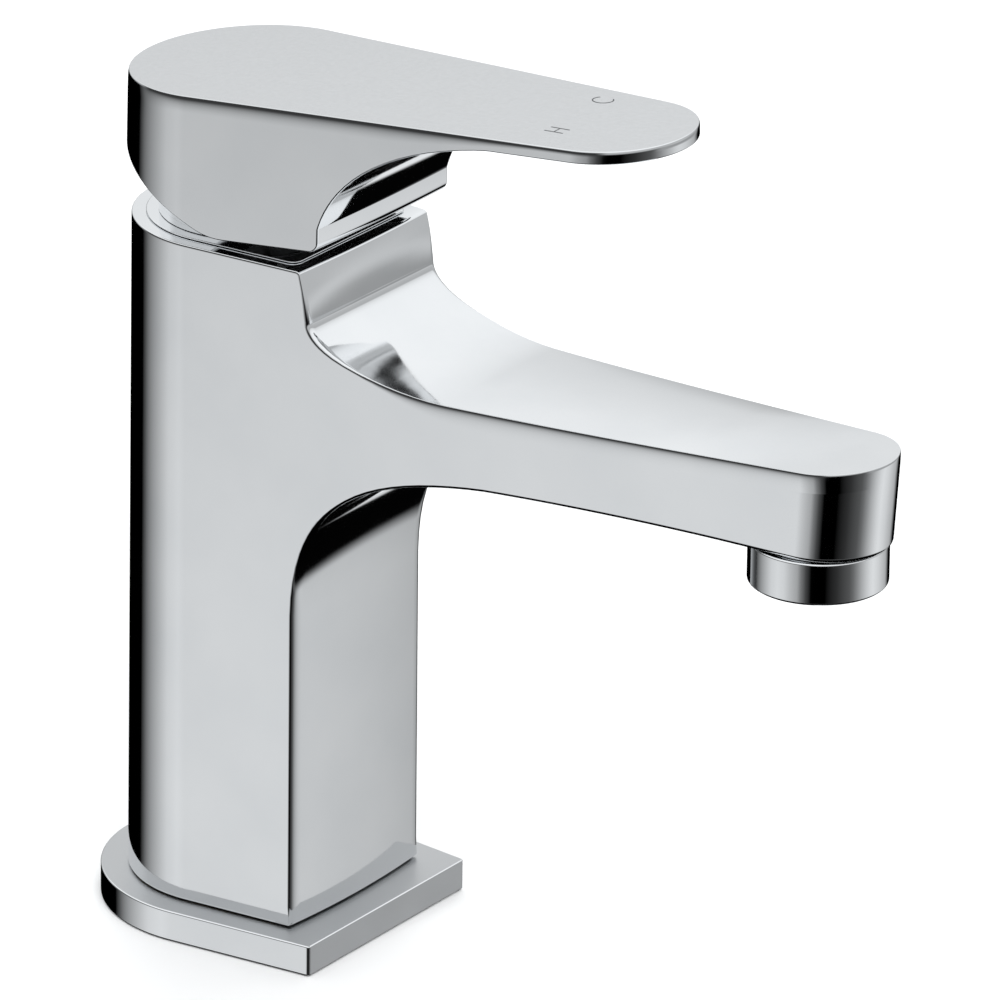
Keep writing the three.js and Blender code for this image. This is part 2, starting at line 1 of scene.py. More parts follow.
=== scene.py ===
"""Looks of a chromed single-lever basin mixer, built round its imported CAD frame.

The chromed pieces are rebuilt as fine smooth meshes with rounded edges. The pieces inside keep
their CAD shape and get a better finish. Shapes are worked out in millimetres, +Z up, with the
spout and the lever along -Y, and become metres when a mesh is made.
"""

import math

import bpy
import numpy as np
from mathutils import Matrix, Vector
from mathutils.geometry import delaunay_2d_cdt


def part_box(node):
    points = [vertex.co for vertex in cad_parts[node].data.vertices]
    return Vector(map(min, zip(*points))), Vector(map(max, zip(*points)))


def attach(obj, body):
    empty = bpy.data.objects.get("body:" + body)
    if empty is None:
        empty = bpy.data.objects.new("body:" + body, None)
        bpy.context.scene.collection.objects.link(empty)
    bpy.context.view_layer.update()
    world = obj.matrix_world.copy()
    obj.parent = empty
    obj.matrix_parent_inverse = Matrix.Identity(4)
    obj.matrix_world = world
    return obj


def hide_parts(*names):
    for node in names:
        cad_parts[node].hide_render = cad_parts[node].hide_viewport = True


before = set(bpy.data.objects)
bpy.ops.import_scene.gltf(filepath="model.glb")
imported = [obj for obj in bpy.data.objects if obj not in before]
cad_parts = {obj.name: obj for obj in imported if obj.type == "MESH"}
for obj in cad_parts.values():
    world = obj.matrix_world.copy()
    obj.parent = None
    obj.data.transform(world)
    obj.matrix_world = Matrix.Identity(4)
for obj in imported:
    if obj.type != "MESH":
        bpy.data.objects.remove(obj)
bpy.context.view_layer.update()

MM = 0.001


def box_mm(node):
    """Lowest and highest corner of a CAD node in millimetres."""
    low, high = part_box(node)
    return np.array(low) / MM, np.array(high) / MM


# ---- Dimensions, some read from the frame and the rest given ----

_, BODY_HIGH = box_mm("body")
PLATE_LOW, PLATE_HIGH = box_mm("base_plate")
_, TRIM_HIGH = box_mm("trim_plate")
CAP_LOW, CAP_HIGH = box_mm("screw_cap")
RING_LOW, RING_HIGH = box_mm("aerator_housing")

BODY_TOP = BODY_HIGH[2]
BODY_FOOT = PLATE_HIGH[2] + 0.3
RIM_Y = -27.2
CREASE = (-29.5, BODY_TOP - 9.8)
SPOUT_UNDER = BODY_TOP - 33.8
FRONT_Y = -26.3
FRONT_BOW = 1.1
AERATOR_Y = (RING_LOW[1] + RING_HIGH[1]) / 2
CAP_Z = (CAP_LOW[2] + CAP_HIGH[2]) / 2
BODY_CORE_FOOT = 36.3
MOUTH_RADIUS = 19.2  # the thread for the cartridge nut
CHAMBER_RADIUS = 17.8
CHAMBER_FLOOR = 106
NUT_SEAT = 131
SOCKET_RADIUS = 11.4  # the thread for the aerator
SOCKET_TOP = 119
CORE_WALL = 3.2
CORE_CEILING = 94
COLUMNS = 16  # faces across a surface that runs from side to side


# ---- Mesh building ----


class Shell:
    """Welded vertices, and faces whose corners carry their own normals, in millimetres."""

    def __init__(self):
        self.points = []
        self.index = {}
        self.faces = []
        self.normals = []
        self.slots = []
        self.slot = 0

    def vertex(self, point):
        key = tuple(int(round(c * 2000)) for c in point)
        if key not in self.index:
            self.index[key] = len(self.points)
            self.points.append(tuple(float(c) for c in point))
        return self.index[key]

    def face(self, corners):
        """A face from (point, normal) corners, turned so that its normals point outward."""
        ids, normals, points = [], [], []
        for point, normal in corners:
            i = self.vertex(point)
            if i not in ids:
                ids.append(i)
                normals.append(normal)
                points.append(np.asarray(point, float))
        if len(ids) < 3:
            return
        area = np.zeros(3)
        for k in range(1, len(ids) - 1):
            area += np.cross(points[k] - points[0], points[k + 1] - points[0])
        if np.dot(area, np.sum(normals, axis=0)) < 0:
            ids.reverse()
            normals.reverse()
        self.faces.append(ids)
        self.normals.extend(normals)
        self.slots.append(self.slot)

    def grid(self, rows, closed=False):
        """Quads between rows of (point, normal)."""
        for a, b in zip(rows, rows[1:]):
            count = len(a)
            for j in range(count if closed else count - 1):
                k = (j + 1) % count
                self.face([a[j], a[k], b[k], b[j]])

    def fill(self, loops, place=None, extra=()):
        """Triangles over a flat region. A loop is a list of (uv, (point, normal)). The first loop
        bounds the region and the others are holes. place gives (point, normal) for extra uvs."""
        uv, data, edges = [], [], []
        for loop in loops:
            start = len(uv)
            uv.extend(item[0] for item in loop)
            data.extend(item[1] for item in loop)
            edges.extend((start + k, start + (k + 1) % len(loop)) for k in range(len(loop)))
        rim = np.array(uv, float)
        segments = (rim[[a for a, _ in edges]], rim[[b for _, b in edges]])
        for point in extra:
            uv.append(tuple(point))
            data.append(place(*point))
        made = delaunay_2d_cdt([Vector(p) for p in uv], edges, [], 0, 1e-7)
        verts, lines, faces, origins, line_origins = made[:5]
        source = [min(o) if o else None for o in origins]
        corners = np.array([v[:] for v in verts])
        rims = {frozenset(line) for line, origin in zip(lines, line_origins) if origin}
        middles = np.array([corners[list(f)].mean(0) for f in faces])
        areas = np.array([triangle_area(*corners[list(f)]) for f in faces])
        within = inside(middles, segments)
        for region in regions(faces, rims):
            if areas[region].sum() > SLIVER and areas[region] @ (within[region] - 0.5) > 0:
                for k in region:
                    self.face([data[source[i]] for i in faces[k]])

    def build(self, name, materials, body, slot, *replaced):
        mesh = bpy.data.meshes.new(name)
        mesh.from_pydata([tuple(c * MM for c in p) for p in self.points], [], self.faces)
        for material in materials:
            mesh.materials.append(material)
        mesh.polygons.foreach_set("material_index", self.slots)
        mesh.polygons.foreach_set("use_smooth", [True] * len(self.faces))
        unit = [tuple(np.asarray(n, float) / np.linalg.norm(n)) for n in self.normals]
        mesh.normals_split_custom_set(unit)
        mesh.update()
        piece = bpy.data.objects.new(name, mesh)
        bpy.context.scene.collection.objects.link(piece)
        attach(piece, body)
        if replaced:
            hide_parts(*replaced)
        return piece


def inside(points, segments):
    """Even-odd test of points against the closed loops made by the segments."""
    a, b = segments
    x, y = points[:, :1], points[:, 1:]
    crosses = (a[:, 1] > y) != (b[:, 1] > y)
    rise = np.where(b[:, 1] == a[:, 1], 1e-12, b[:, 1] - a[:, 1])
    reach = (b[:, 0] - a[:, 0]) * (y - a[:, 1]) / rise + a[:, 0]
    return (crosses & (x < reach)).sum(1) % 2 == 1


SLIVER = 1e-3  # square millimetres; a region below this is a gap between points in a line


def triangle_area(a, b, c):
    return abs((b[0] - a[0]) * (c[1] - a[1]) - (b[1] - a[1]) * (c[0] - a[0])) / 2


def regions(faces, rims):
    """Groups of triangles that meet across edges which no loop runs along."""
    sharing = {}
    for k, face in enumerate(faces):
        for i in range(3):
            sharing.setdefault(frozenset((face[i], face[(i + 1) % 3])), []).append(k)
    group = list(range(len(faces)))

    def root(k):
        while group[k] != k:
            group[k] = group[group[k]]
            k = group[k]
        return k

    for edge, pair in sharing.items():
        if edge not in rims and len(pair) == 2:
            group[root(pair[0])] = root(pair[1])
    found = {}
    for k in range(len(faces)):
        found.setdefault(root(k), []).append(k)
    return list(found.values())


def unit(v):
    v = np.asarray(v, float)
    return v / np.linalg.norm(v)


def smooth(x, low, high):
    """0 below low, 1 above high, and an easy curve between; low may be the larger one."""
    t = min(1.0, max(0.0, (x - low) / (high - low)))
    return t * t * (3 - 2 * t)


def slope_of(function, x):
    return (function(x + 0.05) - function(x - 0.05)) / 0.1


# ---- Side profiles ----


def bezier(points, count=80):
    """Points along a Bezier curve with these control points."""
    controls = np.array(points, float)
    degree = len(controls) - 1
    t = np.linspace(0, 1, count + 1)[:, None]
    weights = [math.comb(degree, k) * (1 - t) ** (degree - k) * t**k for k in range(degree + 1)]
    return sum(w * c for w, c in zip(weights, controls))


def trace(start, *steps):
    """A dense line through Bezier steps. Each step is (radius at its start, controls, end)."""
    runs, radii = [], []
    for radius, *controls in steps:
        runs.append(bezier([start, *controls]))
        radii.append(radius)
        start = controls[-1]
    line = [runs[0]]
    for run, radius in zip(runs[1:], radii[1:]):
        if radius:
            arc, before, after = corner(line[-1], run, radius)
            line[-1] = before
            line.append(arc)
            line.append(after)
        else:
            line.append(run[1:])
    dense = np.vstack(line)
    keep = np.r_[True, np.linalg.norm(np.diff(dense, axis=0), axis=1) > 1e-6]
    return dense[keep]


def corner(before, after, radius):
    """An arc of this radius between two runs, and both runs cut back to it."""
    at = after[0]
    u = unit(at - before[-2])
    v = unit(after[1] - at)
    turn = math.acos(max(-1.0, min(1.0, float(u @ v))))
    back = radius * math.tan(turn / 2)
    side = unit(v - u * (u @ v))
    centre = at - u * back + side * radius
    angles = np.linspace(0, turn, 13)
    arc = [centre + radius * (math.sin(a) * u - math.cos(a) * side) for a in angles]
    before = before[np.linalg.norm(before - at, axis=1) > back + 1e-3]
    after = after[np.linalg.norm(after - at, axis=1) > back + 1e-3]
    return np.array(arc), before, after


def tangents(line):
    """Unit tangents of a dense line whose points aren't evenly spaced."""
    steps = np.diff(line, axis=0)
    lengths = np.linalg.norm(steps, axis=1)[:, None]
    ways = steps / lengths
    middle = ways[:-1] * lengths[1:] + ways[1:] * lengths[:-1]
    all_ways = np.vstack([ways[:1], middle, ways[-1:]])
    return all_ways / np.linalg.norm(all_ways, axis=1)[:, None]


def thinned(line, ways, turn=math.radians(4), spacing=3.0):
    """Indices of points that keep the line's shape."""
    chosen, last = [0], 0
    for i in range(1, len(line)):
        bent = math.acos(max(-1.0, min(1.0, float(ways[i] @ ways[last]))))
        if bent >= turn or np.linalg.norm(line[i] - line[last]) >= spacing:
            chosen.append(i)
            last = i
    return chosen


# ---- Teardrop walls with rounded edges ----


class Wall:
    """The side of a teardrop: round rear, straight sides, round tip, with a straight draft.

    u runs round the outline from the rear (0), positive on the +X side, to the tip.
    """

    def __init__(self, low, low_z, high, high_z):
        self.low, self.low_z = np.array(low, float), low_z
        self.rise = (np.array(high, float) - self.low) / (high_z - low_z)
        rear, tip, reach, taper = self.plan((low_z + high_z) / 2)
        self.ends = np.cumsum([
            rear * (math.pi / 2 + taper),
            reach * math.cos(taper),
            tip * (math.pi / 2 - taper),
        ])

    def plan(self, z):
        rear, tip, reach = self.low + self.rise * (z - self.low_z)
        return rear, tip, reach, math.asin((rear - tip) / reach)

    def outline(self, u, z):
        """The outline's point (x, y) and its level normal."""
        rear, tip, reach, taper = self.plan(z)
        a, side = abs(u), (1 if u >= 0 else -1)
        first, second, third = self.ends
        if a <= first:
            angle = a / first * (math.pi / 2 + taper)
            normal = (math.sin(angle), math.cos(angle))
            point = (rear * normal[0], rear * normal[1])
        elif a <= second:
            share = (a - first) / (second - first)
            normal = (math.cos(taper), -math.sin(taper))
            radius = rear + (tip - rear) * share
            point = (radius * normal[0], radius * normal[1] - reach * share)
        else:
            angle = taper + (a - second) / (third - second) * (math.pi / 2 - taper)
            normal = (math.cos(angle), -math.sin(angle))
            point = (tip * normal[0], tip * normal[1] - reach)
        return (side * point[0], point[1]), (side * normal[0], normal[1])

    def place(self, u, z):
        """The wall's (point, normal)."""
        point, normal = self.outline(u, z)
        above, below = self.outline(u, z + 0.5)[0], self.outline(u, z - 0.5)[0]
        lean = (above[0] - below[0]) * normal[0] + (above[1] - below[1]) * normal[1]
        return (*point, z), unit((*normal, -lean))

    def at(self, y, z):
        """u on the +X side at this y."""
        rear, tip, reach, taper = self.plan(z)
        first, second, third = self.ends
        rear_y, tip_y = -rear * math.sin(taper), -reach - tip * math.sin(taper)
        if y >= rear_y:
            return math.acos(min(1.0, y / rear)) / (math.pi / 2 + taper) * first
        if y >= tip_y:
            return first + (rear_y - y) / (rear_y - tip_y) * (second - first)
        angle = math.asin(min(1.0, (-reach - y) / tip))
        return second + (angle - taper) / (math.pi / 2 - taper) * (third - second)


def zero(_):
    return 0.0


class Edge:
    """The rounded edge where a wall meets a surface that runs across from side to side.

    line is that surface's dense (y, z) profile, from behind the wall's rear to past its tip.
    sign is 1 for an upper edge and -1 for a lower one. reach gives, at a (y, z), how far the
    rounding runs along the wall and along the surface. bow pushes the middle of the surface
    forward by an amount that depends on z, and crown lifts it by one that depends on y.
    """

    STEPS = 9

    def __init__(self, wall, line, sign, reach, bow=zero, crown=zero, spacing=3.0):
        self.wall, self.sign, self.reach = wall, sign, reach
        self.bow, self.crown = bow, crown
        ways = tangents(line)
        descending = line[:, 0]
        rear_run = slice(0, int(np.argmax(descending < -5)) + 1)
        tip_run = slice(int(np.argmax(descending < wall_tip_y(wall, line) - 1)) - 1, None)
        samples = []
        for run, angles in ((rear_run, "rear"), (tip_run, "tip")):
            ys, zs = descending[run][::-1], line[run, 1][::-1]
            found = []
            for share in np.linspace(0, 1, 46 if angles == "rear" else 30):
                z = zs[-1] if angles == "rear" else zs[0]
                for _ in range(8):
                    rear, tip, reach, taper = wall.plan(z)
                    if angles == "rear":
                        y = rear * math.cos(share * (math.pi / 2 + taper))
                    else:
                        y = -reach - tip * math.sin(taper + share * (math.pi / 2 - taper))
                    z = float(np.interp(y, ys, zs))
                way = [float(np.interp(y, ys, ways[run, k][::-1])) for k in (0, 1)]
                found.append((y, z, *unit(way)))
            samples.append(found)
        rear_samples, tip_samples = samples
        middle = [
            (*line[i], *ways[i])
            for i in thinned(line, ways, spacing=spacing)
            if tip_samples[0][0] + 0.2 < line[i, 0] < rear_samples[-1][0] - 0.2
        ]
        self.samples = rear_samples + middle + tip_samples
        self.arcs = [self.arc(*sample) for sample in self.samples]

    def normal(self, y, z, way, share, width):
        """The crossing surface's normal at this share of its half width."""
        b, c = self.bow(z), self.crown(y)
        rise = 1 - share * share
        along_y = way[0] - slope_of(self.bow, z) * way[1] * rise
        along_z = way[1] + slope_of(self.crown, y) * way[0] * rise
        width = max(width, 1.0)
        across = 2 * share / width * (b * along_z + c * along_y)
        normal = np.array([across, -along_z, along_y])
        facing = self.sign * way[1] * normal[1] - self.sign * way[0] * normal[2]
        return unit(normal if facing > 0 else -normal)

    def arc(self, y, z, way_y, way_z):
        """(point, normal) from the wall round to the crossing surface, on the +X side."""
        u = self.wall.at(y, z)
        point, wall_normal = self.wall.place(u, z)
        down, across = self.reach(y, z)
        share = max(0.0, point[0] - across) / max(point[0], 1e-6)
        strip_normal = self.normal(y, z, (way_y, way_z), share, point[0])
        if u <= 0 or point[0] < 1e-6:
            point = (0.0, point[1], point[2])
            strip_normal[0] = 0.0
            strip_normal = unit(strip_normal)
        corner_point = np.array(point)
        cosine = float(wall_normal @ strip_normal)
        start = corner_point + down * unit(wall_normal * cosine - strip_normal)
        end = corner_point + across * unit(strip_normal * cosine - wall_normal)
        made = []
        for k in range(self.STEPS + 1):
            t = k / self.STEPS
            p = (1 - t) ** 2 * start + 2 * t * (1 - t) * corner_point + t * t * end
            n = unit((1 - t) * down * wall_normal + t * across * strip_normal)
            if abs(p[0]) < 1e-4:
                p[0] = 0.0
            made.append((p, n))
        return made

    def round_over(self, shell, first=0, last=None):
        """The rounded edge itself, on both sides, between two samples or to the tip."""
        last = len(self.arcs) - 1 if last is None else last
        for side in (1, -1):
            shell.grid([[mirrored(item, side) for item in arc] for arc in self.arcs[first : last + 1]])

    def wall_loop(self):
        """The wall's boundary as ((u, z), (point, normal)), from the -X tip round to the +X tip."""
        half = []
        for arc in self.arcs:
            p, _ = arc[0]
            u = self.wall.at(p[1], p[2])
            half.append(((u, p[2]), (p, self.wall.place(u, p[2])[1])))
        first = [
            ((-uv[0], uv[1]), mirrored(item, -1)) for uv, item in reversed(half)
        ]
        return first[:-1] + half

    def row(self, i, count):
        """(point, normal) across the surface at sample i, from +X to -X."""
        y, z, way_y, way_z = self.samples[i]
        edge = self.arcs[i][-1][0]
        width = max(self.wall.place(self.wall.at(y, z), z)[0][0], 1e-6)
        edge_share = edge[0] / width
        made = []
        for j in range(count + 1):
            share = edge_share * (1 - 2 * j / count)
            fall = edge_share**2 - share**2
            point = (
                width * share,
                edge[1] - self.bow(z) * fall,
                edge[2] + self.crown(y) * fall,
            )
            made.append((point, self.normal(y, z, (way_y, way_z), share, width)))
        return made

    def across(self, shell, start, end, count):
        """The crossing surface between two samples."""
        shell.grid([self.row(i, count) for i in range(start, end + 1)])

    def flat_end(self):
        """The last sample of the level or evenly sloping run at the rear."""
        first = np.array(self.samples[0][2:])
        for i, sample in enumerate(self.samples):
            if abs(float(np.cross(first, sample[2:]))) > 2e-3:
                return i - 1
        return len(self.samples) - 1

    def rear_loop(self, end, count):
        """The boundary of the surface from the rear to a sample, as ((x, y), (point, normal))."""
        right = [self.arcs[i][-1] for i in range(end)]
        left = [mirrored(item, -1) for item in reversed(right[1:])]
        return [((p[0], p[1]), (p, n)) for p, n in right + self.row(end, count) + left]

    def tip_loop(self, start, count):
        """The boundary of the surface from a sample to the tip."""
        right = [self.arcs[i][-1] for i in range(start + 1, len(self.arcs))]
        left = [mirrored(item, -1) for item in right[:-1]]
        ring = self.row(start, count)
        loop = left + [right[-1]] + right[-2::-1] + ring
        return [((p[0], p[1]), (p, n)) for p, n in loop]


def wall_tip_y(wall, line):
    """About where the straight sides end, on the surface's tip end."""
    _, tip, reach, taper = wall.plan(line[-1, 1])
    return -reach - tip * math.sin(taper) + 4


def mirrored(item, side):
    point, normal = item
    return (side * point[0], point[1], point[2]), (side * normal[0], normal[1], normal[2])


def close_wall(shell, upper, lower, round_step, side_step, rise_step, holes=()):
    """Fills the wall between its upper and lower rounded edges."""
    wall = upper.wall
    top, bottom = upper.wall_loop(), lower.wall_loop()
    end = wall.ends[2]
    heights = np.arange(bottom[-1][0][1] + 1.5, top[-1][0][1] - 1.0, 1.5)
    seam = {side: [((side * end, z), wall.place(side * end, z)) for z in heights] for side in (1, -1)}
    loop = top + seam[1][::-1] + bottom[::-1] + seam[-1]
    first, second, _ = wall.ends
    turns = [
        np.arange(0, first, round_step),
        np.arange(first, second, side_step),
        np.arange(second, end, round_step),
    ]
    places = np.concatenate(turns)
    places = np.concatenate([-places[:0:-1], places])
    low = min(uv[1] for uv, _ in loop)
    high = max(uv[1] for uv, _ in loop)
    levels = np.arange(low + rise_step / 2, high, rise_step)
    points = np.array([(u, z) for u in places for z in levels])
    rim = np.array([uv for uv, _ in loop] + [uv for hole in holes for uv, _ in hole])
    following = np.array(
        [uv for uv, _ in loop[1:] + loop[:1]]
        + [uv for hole in holes for uv, _ in hole[1:] + hole[:1]]
    )
    points = points[inside(points, (rim, following))]
    far = np.array([np.min(np.hypot(*(rim - p).T)) > 0.8 for p in points])
    shell.fill([loop, *holes], wall.place, points[far])


# ---- Turned and swept shapes ----


def rounded(corners, radii, steps=4):
    """A closed outline, listed anticlockwise, as (u, v, normal u, normal v) with rounded corners."""
    made, count = [], len(corners)
    for i in range(count):
        at = np.array(corners[i], float)
        u = unit(at - np.array(corners[i - 1], float))
        v = unit(np.array(corners[(i + 1) % count], float) - at)
        before, after = np.array([u[1], -u[0]]), np.array([v[1], -v[0]])
        radius = radii[i]
        if not radius:
            made.extend([(*at, *before), (*at, *after)])
            continue
        cosine = float(before @ after)
        convex = (u[0] * v[1] - u[1] * v[0]) > 0
        reach = (before + after) / (1 + cosine) * radius
        centre = at - reach if convex else at + reach
        angle = math.acos(max(-1.0, min(1.0, cosine)))
        for k in range(steps + 1):
            t = k / steps
            n = unit(before * math.sin((1 - t) * angle) + after * math.sin(t * angle))
            p = centre + radius * n if convex else centre - radius * n
            made.append((*p, *n))
    return made


def turned(shell, corners, radii, centre=(0, 0), segments=96):
    """A ring turned about an upright axis from an (r, z) outline."""
    section = rounded(corners, radii)
    rows = []
    for r, z, nr, nz in section + section[:1]:
        ring = []
        for k in range(segments):
            c, s = math.cos(2 * math.pi * k / segments), math.sin(2 * math.pi * k / segments)
            ring.append(((centre[0] + r * c, centre[1] + r * s, z), (nr * c, nr * s, nz)))
        rows.append(ring)
    for a, b in zip(rows, rows[1:]):
        shell.grid([a, b], closed=True)


def circle_loop(radius, z, normal, centre=(0, 0), segments=96):
    """A level circle as ((x, y), (point, normal))."""
    loop = []
    for k in range(segments):
        angle = 2 * math.pi * k / segments
        x = centre[0] + radius * math.cos(angle)
        y = centre[1] + radius * math.sin(angle)
        loop.append(((x, y), ((x, y, z), normal)))
    return loop


def pot(shell, loop_radius, levels, centre=(0, 0), segments=96):
    """A round cavity from its mouth inward: levels are (radius, z), and the last one is closed."""
    def ring(radius, z, way):
        made = []
        for k in range(segments):
            c, s = math.cos(2 * math.pi * k / segments), math.sin(2 * math.pi * k / segments)
            normal = (-c * way[0], -s * way[0], way[1])
            made.append(((centre[0] + radius * c, centre[1] + radius * s, z), normal))
        return made

    radius, z = loop_radius, levels[0][1]
    deeper = 1 if levels[-1][1] < z else -1
    for next_radius, next_z in levels[1:]:
        if next_radius != radius:
            shell.grid([ring(radius, z, (0, deeper)), ring(next_radius, z, (0, deeper))], True)
            radius = next_radius
        if next_z != z:
            shell.grid([ring(radius, z, (1, 0)), ring(radius, next_z, (1, 0))], True)
            z = next_z
    floor = ring(radius, z, (0, deeper))
    middle = ((centre[0], centre[1], z), (0, 0, deeper))
    for k in range(segments):
        shell.face([floor[k], floor[(k + 1) % segments], middle])


def d_outline(rear, centre, taper, front, radius, inset=0.0, arc_steps=72):
    """A round rear, straight sides closing in by the taper and a square front with rounded
    corners, as (x, y, normal x, normal y), anticlockwise, cut back by the inset."""
    made = []
    for angle in np.linspace(-taper, math.pi + taper, arc_steps + 1):
        n = (math.cos(angle), math.sin(angle))
        made.append(((rear - inset) * n[0], centre + (rear - inset) * n[1], *n))
    y = -(front - radius)
    x = -(rear - radius - centre * math.sin(taper) + math.sin(taper) * y) / math.cos(taper)
    for side in (-1, 1):
        start, end = (math.pi + taper, 1.5 * math.pi) if side < 0 else (1.5 * math.pi, 2 * math.pi - taper)
        for angle in np.linspace(start, end, 9):
            n = (math.cos(angle), math.sin(angle))
            made.append((-side * x + (radius - inset) * n[0], y + (radius - inset) * n[1], *n))
    return made


def d_rings(outline, section):
    """Rings of (point, normal) for a section of (inset, z, outward share, upward share)."""
    rings = []
    for inset, z, out, up in section:
        made = outline(inset)
        rings.append([((x, y, z), (nx * out, ny * out, up)) for x, y, nx, ny in made])
    return rings


def slab(shell, outline, low, high, edge, hole):
    """A flat plate with rounded outer edges and a round hole."""
    turn = [math.pi / 2 * k / 4 for k in range(5)]
    section = []
    for a in turn:
        inset, rise = edge * (1 - math.sin(a)), edge * (1 - math.cos(a))
        section.append((inset, low + rise, math.sin(a), -math.cos(a)))
    for a in turn:
        inset, fall = edge * (1 - math.cos(a)), edge * (1 - math.sin(a))
        section.append((inset, high - fall, math.cos(a), math.sin(a)))
    rings = d_rings(outline, section)
    shell.grid(rings, closed=True)
    for ring, z, up in ((rings[0], low, -1), (rings[-1], high, 1)):
        outer = [((p[0], p[1]), (p, (0, 0, up))) for p, _ in ring]
        shell.fill([outer, circle_loop(hole, z, (0, 0, up))])
    for k, (a, b) in enumerate(zip(circle_loop(hole, low, None), circle_loop(hole, high, None))):
        c = circle_loop(hole, low, None)[(k + 1) % 96]
        d = circle_loop(hole, high, None)[(k + 1) % 96]
        shell.face([(q[1][0], (-q[0][0], -q[0][1], 0)) for q in (a, c, d, b)])


# ---- Materials ----


def material(name, colour, roughness, metallic=0.0, **sockets):
    """A material whose shader has these constant values, with its nodes and its shader."""
    made = bpy.data.materials.new(name)
    made.use_nodes = True
    nodes = made.node_tree.nodes
    shader = nodes["Principled BSDF"]
    shader.inputs["Base Color"].default_value = (*colour, 1)
    shader.inputs["Roughness"].default_value = roughness
    shader.inputs["Metallic"].default_value = metallic
    for key, value in sockets.items():
        shader.inputs[key.replace("_", " ")].default_value = value
    made.diffuse_color = (*colour, 1)
    return made, shader


def noise(made, scale, detail=3.0, stretch=(1, 1, 1)):
    """Noise in the piece's own space, in the mixer's metres."""
    nodes, links = made.node_tree.nodes, made.node_tree.links
    where = nodes.new("ShaderNodeTexCoord")
    mapping = nodes.new("ShaderNodeMapping")
    mapping.inputs["Scale"].default_value = stretch
    texture = nodes.new("ShaderNodeTexNoise")
    texture.inputs["Scale"].default_value = scale
    texture.inputs["Detail"].default_value = detail
    links.new(where.outputs["Object"], mapping.inputs["Vector"])
    links.new(mapping.outputs["Vector"], texture.inputs["Vector"])
    return texture.outputs["Fac"]


def vary_roughness(made, shader, source, low, high):
    remap = made.node_tree.nodes.new("ShaderNodeMapRange")
    remap.inputs["From Min"].default_value = 0.3
    remap.inputs["From Max"].default_value = 0.7
    remap.inputs["To Min"].default_value = low
    remap.inputs["To Max"].default_value = high
    made.node_tree.links.new(source, remap.inputs["Value"])
    made.node_tree.links.new(remap.outputs["Result"], shader.inputs["Roughness"])


def vary_colour(made, shader, source, dark, light):
    ramp = made.node_tree.nodes.new("ShaderNodeValToRGB")
    ramp.color_ramp.elements[0].position = 0.32
    ramp.color_ramp.elements[1].position = 0.68
    ramp.color_ramp.elements[0].color = (*dark, 1)
    ramp.color_ramp.elements[1].color = (*light, 1)
    made.node_tree.links.new(source, ramp.inputs["Fac"])
    made.node_tree.links.new(ramp.outputs["Color"], shader.inputs["Base Color"])


def bump(made, shader, sources):
    """Bumps from (source, strength, depth in metres), one on top of another."""
    last = None
    for source, strength, depth in sources:
        node = made.node_tree.nodes.new("ShaderNodeBump")
        node.inputs["Strength"].default_value = strength
        node.inputs["Distance"].default_value = depth
        made.node_tree.links.new(source, node.inputs["Height"])
        if last:
            made.node_tree.links.new(last, node.inputs["Normal"])
        last = node.outputs["Normal"]
    made.node_tree.links.new(last, shader.inputs["Normal"])


def chrome(name, low, high, shade_scale=1.0):
    """Chrome plate with a faint casting ripple. The last argument, when below 1, darkens the plate's
    colour as painted shade.
    """
    dark, middle, light = (
        tuple(shade_scale * c for c in colour)
        for colour in ((0.87, 0.887, 0.903), (0.9, 0.915, 0.93), (0.925, 0.938, 0.95))
    )
    made, shader = material(name, middle, low, 1.0)
    vary_roughness(made, shader, noise(made, 90, 4), low, high)
    vary_colour(made, shader, noise(made, 45, 5), dark, light)
    bump(made, shader, [(noise(made, 38, 1), 0.12, 0.00012), (noise(made, 2600, 2), 0.05, 0.000004)])
    return made


def plastic(name, colour, roughness):
    """Moulded plastic with a fine spark-eroded grain."""
    made, shader = material(name, colour, roughness)
    darker = tuple(c * 0.88 for c in colour)
    vary_colour(made, shader, noise(made, 160, 4), darker, colour)
    vary_roughness(made, shader, noise(made, 400, 3), roughness - 0.06, roughness + 0.08)
    bump(made, shader, [(noise(made, 3500, 3), 0.25, 0.00002)])
    return made


def machined(name, colour, roughness, stretch):
    """Turned or drawn metal with fine lines along one direction."""
    made, shader = material(name, colour, roughness, 1.0)
    lines = noise(made, 700, 4, stretch)
    darker = tuple(c * 0.82 for c in colour)
    vary_colour(made, shader, lines, darker, colour)
    vary_roughness(made, shader, lines, roughness - 0.07, roughness + 0.1)
    bump(made, shader, [(lines, 0.3, 0.00003)])
    return made


CHROME = chrome("polished_chrome", 0.035, 0.075)
# Darker chrome for the column's front face under the spout: its darker colour is painted shade, for the
# shaded floor that face reflects.
FRONT_SHADE_CHROME = chrome("front_chrome_painted_shade", 0.05, 0.09, 0.8)
# Satin chrome for the deck plate's top and front face: the satin roughness is the plate's finish, and its
# darker colour is painted shade.
PLATE_SATIN_SHADE_CHROME = chrome("satin_chrome_painted_shade", 0.29, 0.36, 0.66)


def satin_top():
    """The lever's top: chrome plate over a finely ground face."""
    made, shader = material("fine_ground_chrome", (0.9, 0.915, 0.93), 0.12, 1.0)
    lines = noise(made, 900, 3, (1.0, 0.35, 1.0))
    vary_roughness(made, shader, lines, 0.1, 0.14)
    vary_colour(made, shader, noise(made, 1100, 3), (0.895, 0.908, 0.92), (0.93, 0.942, 0.955))
    bump(made, shader, [(lines, 0.08, 0.00001)])
    return made


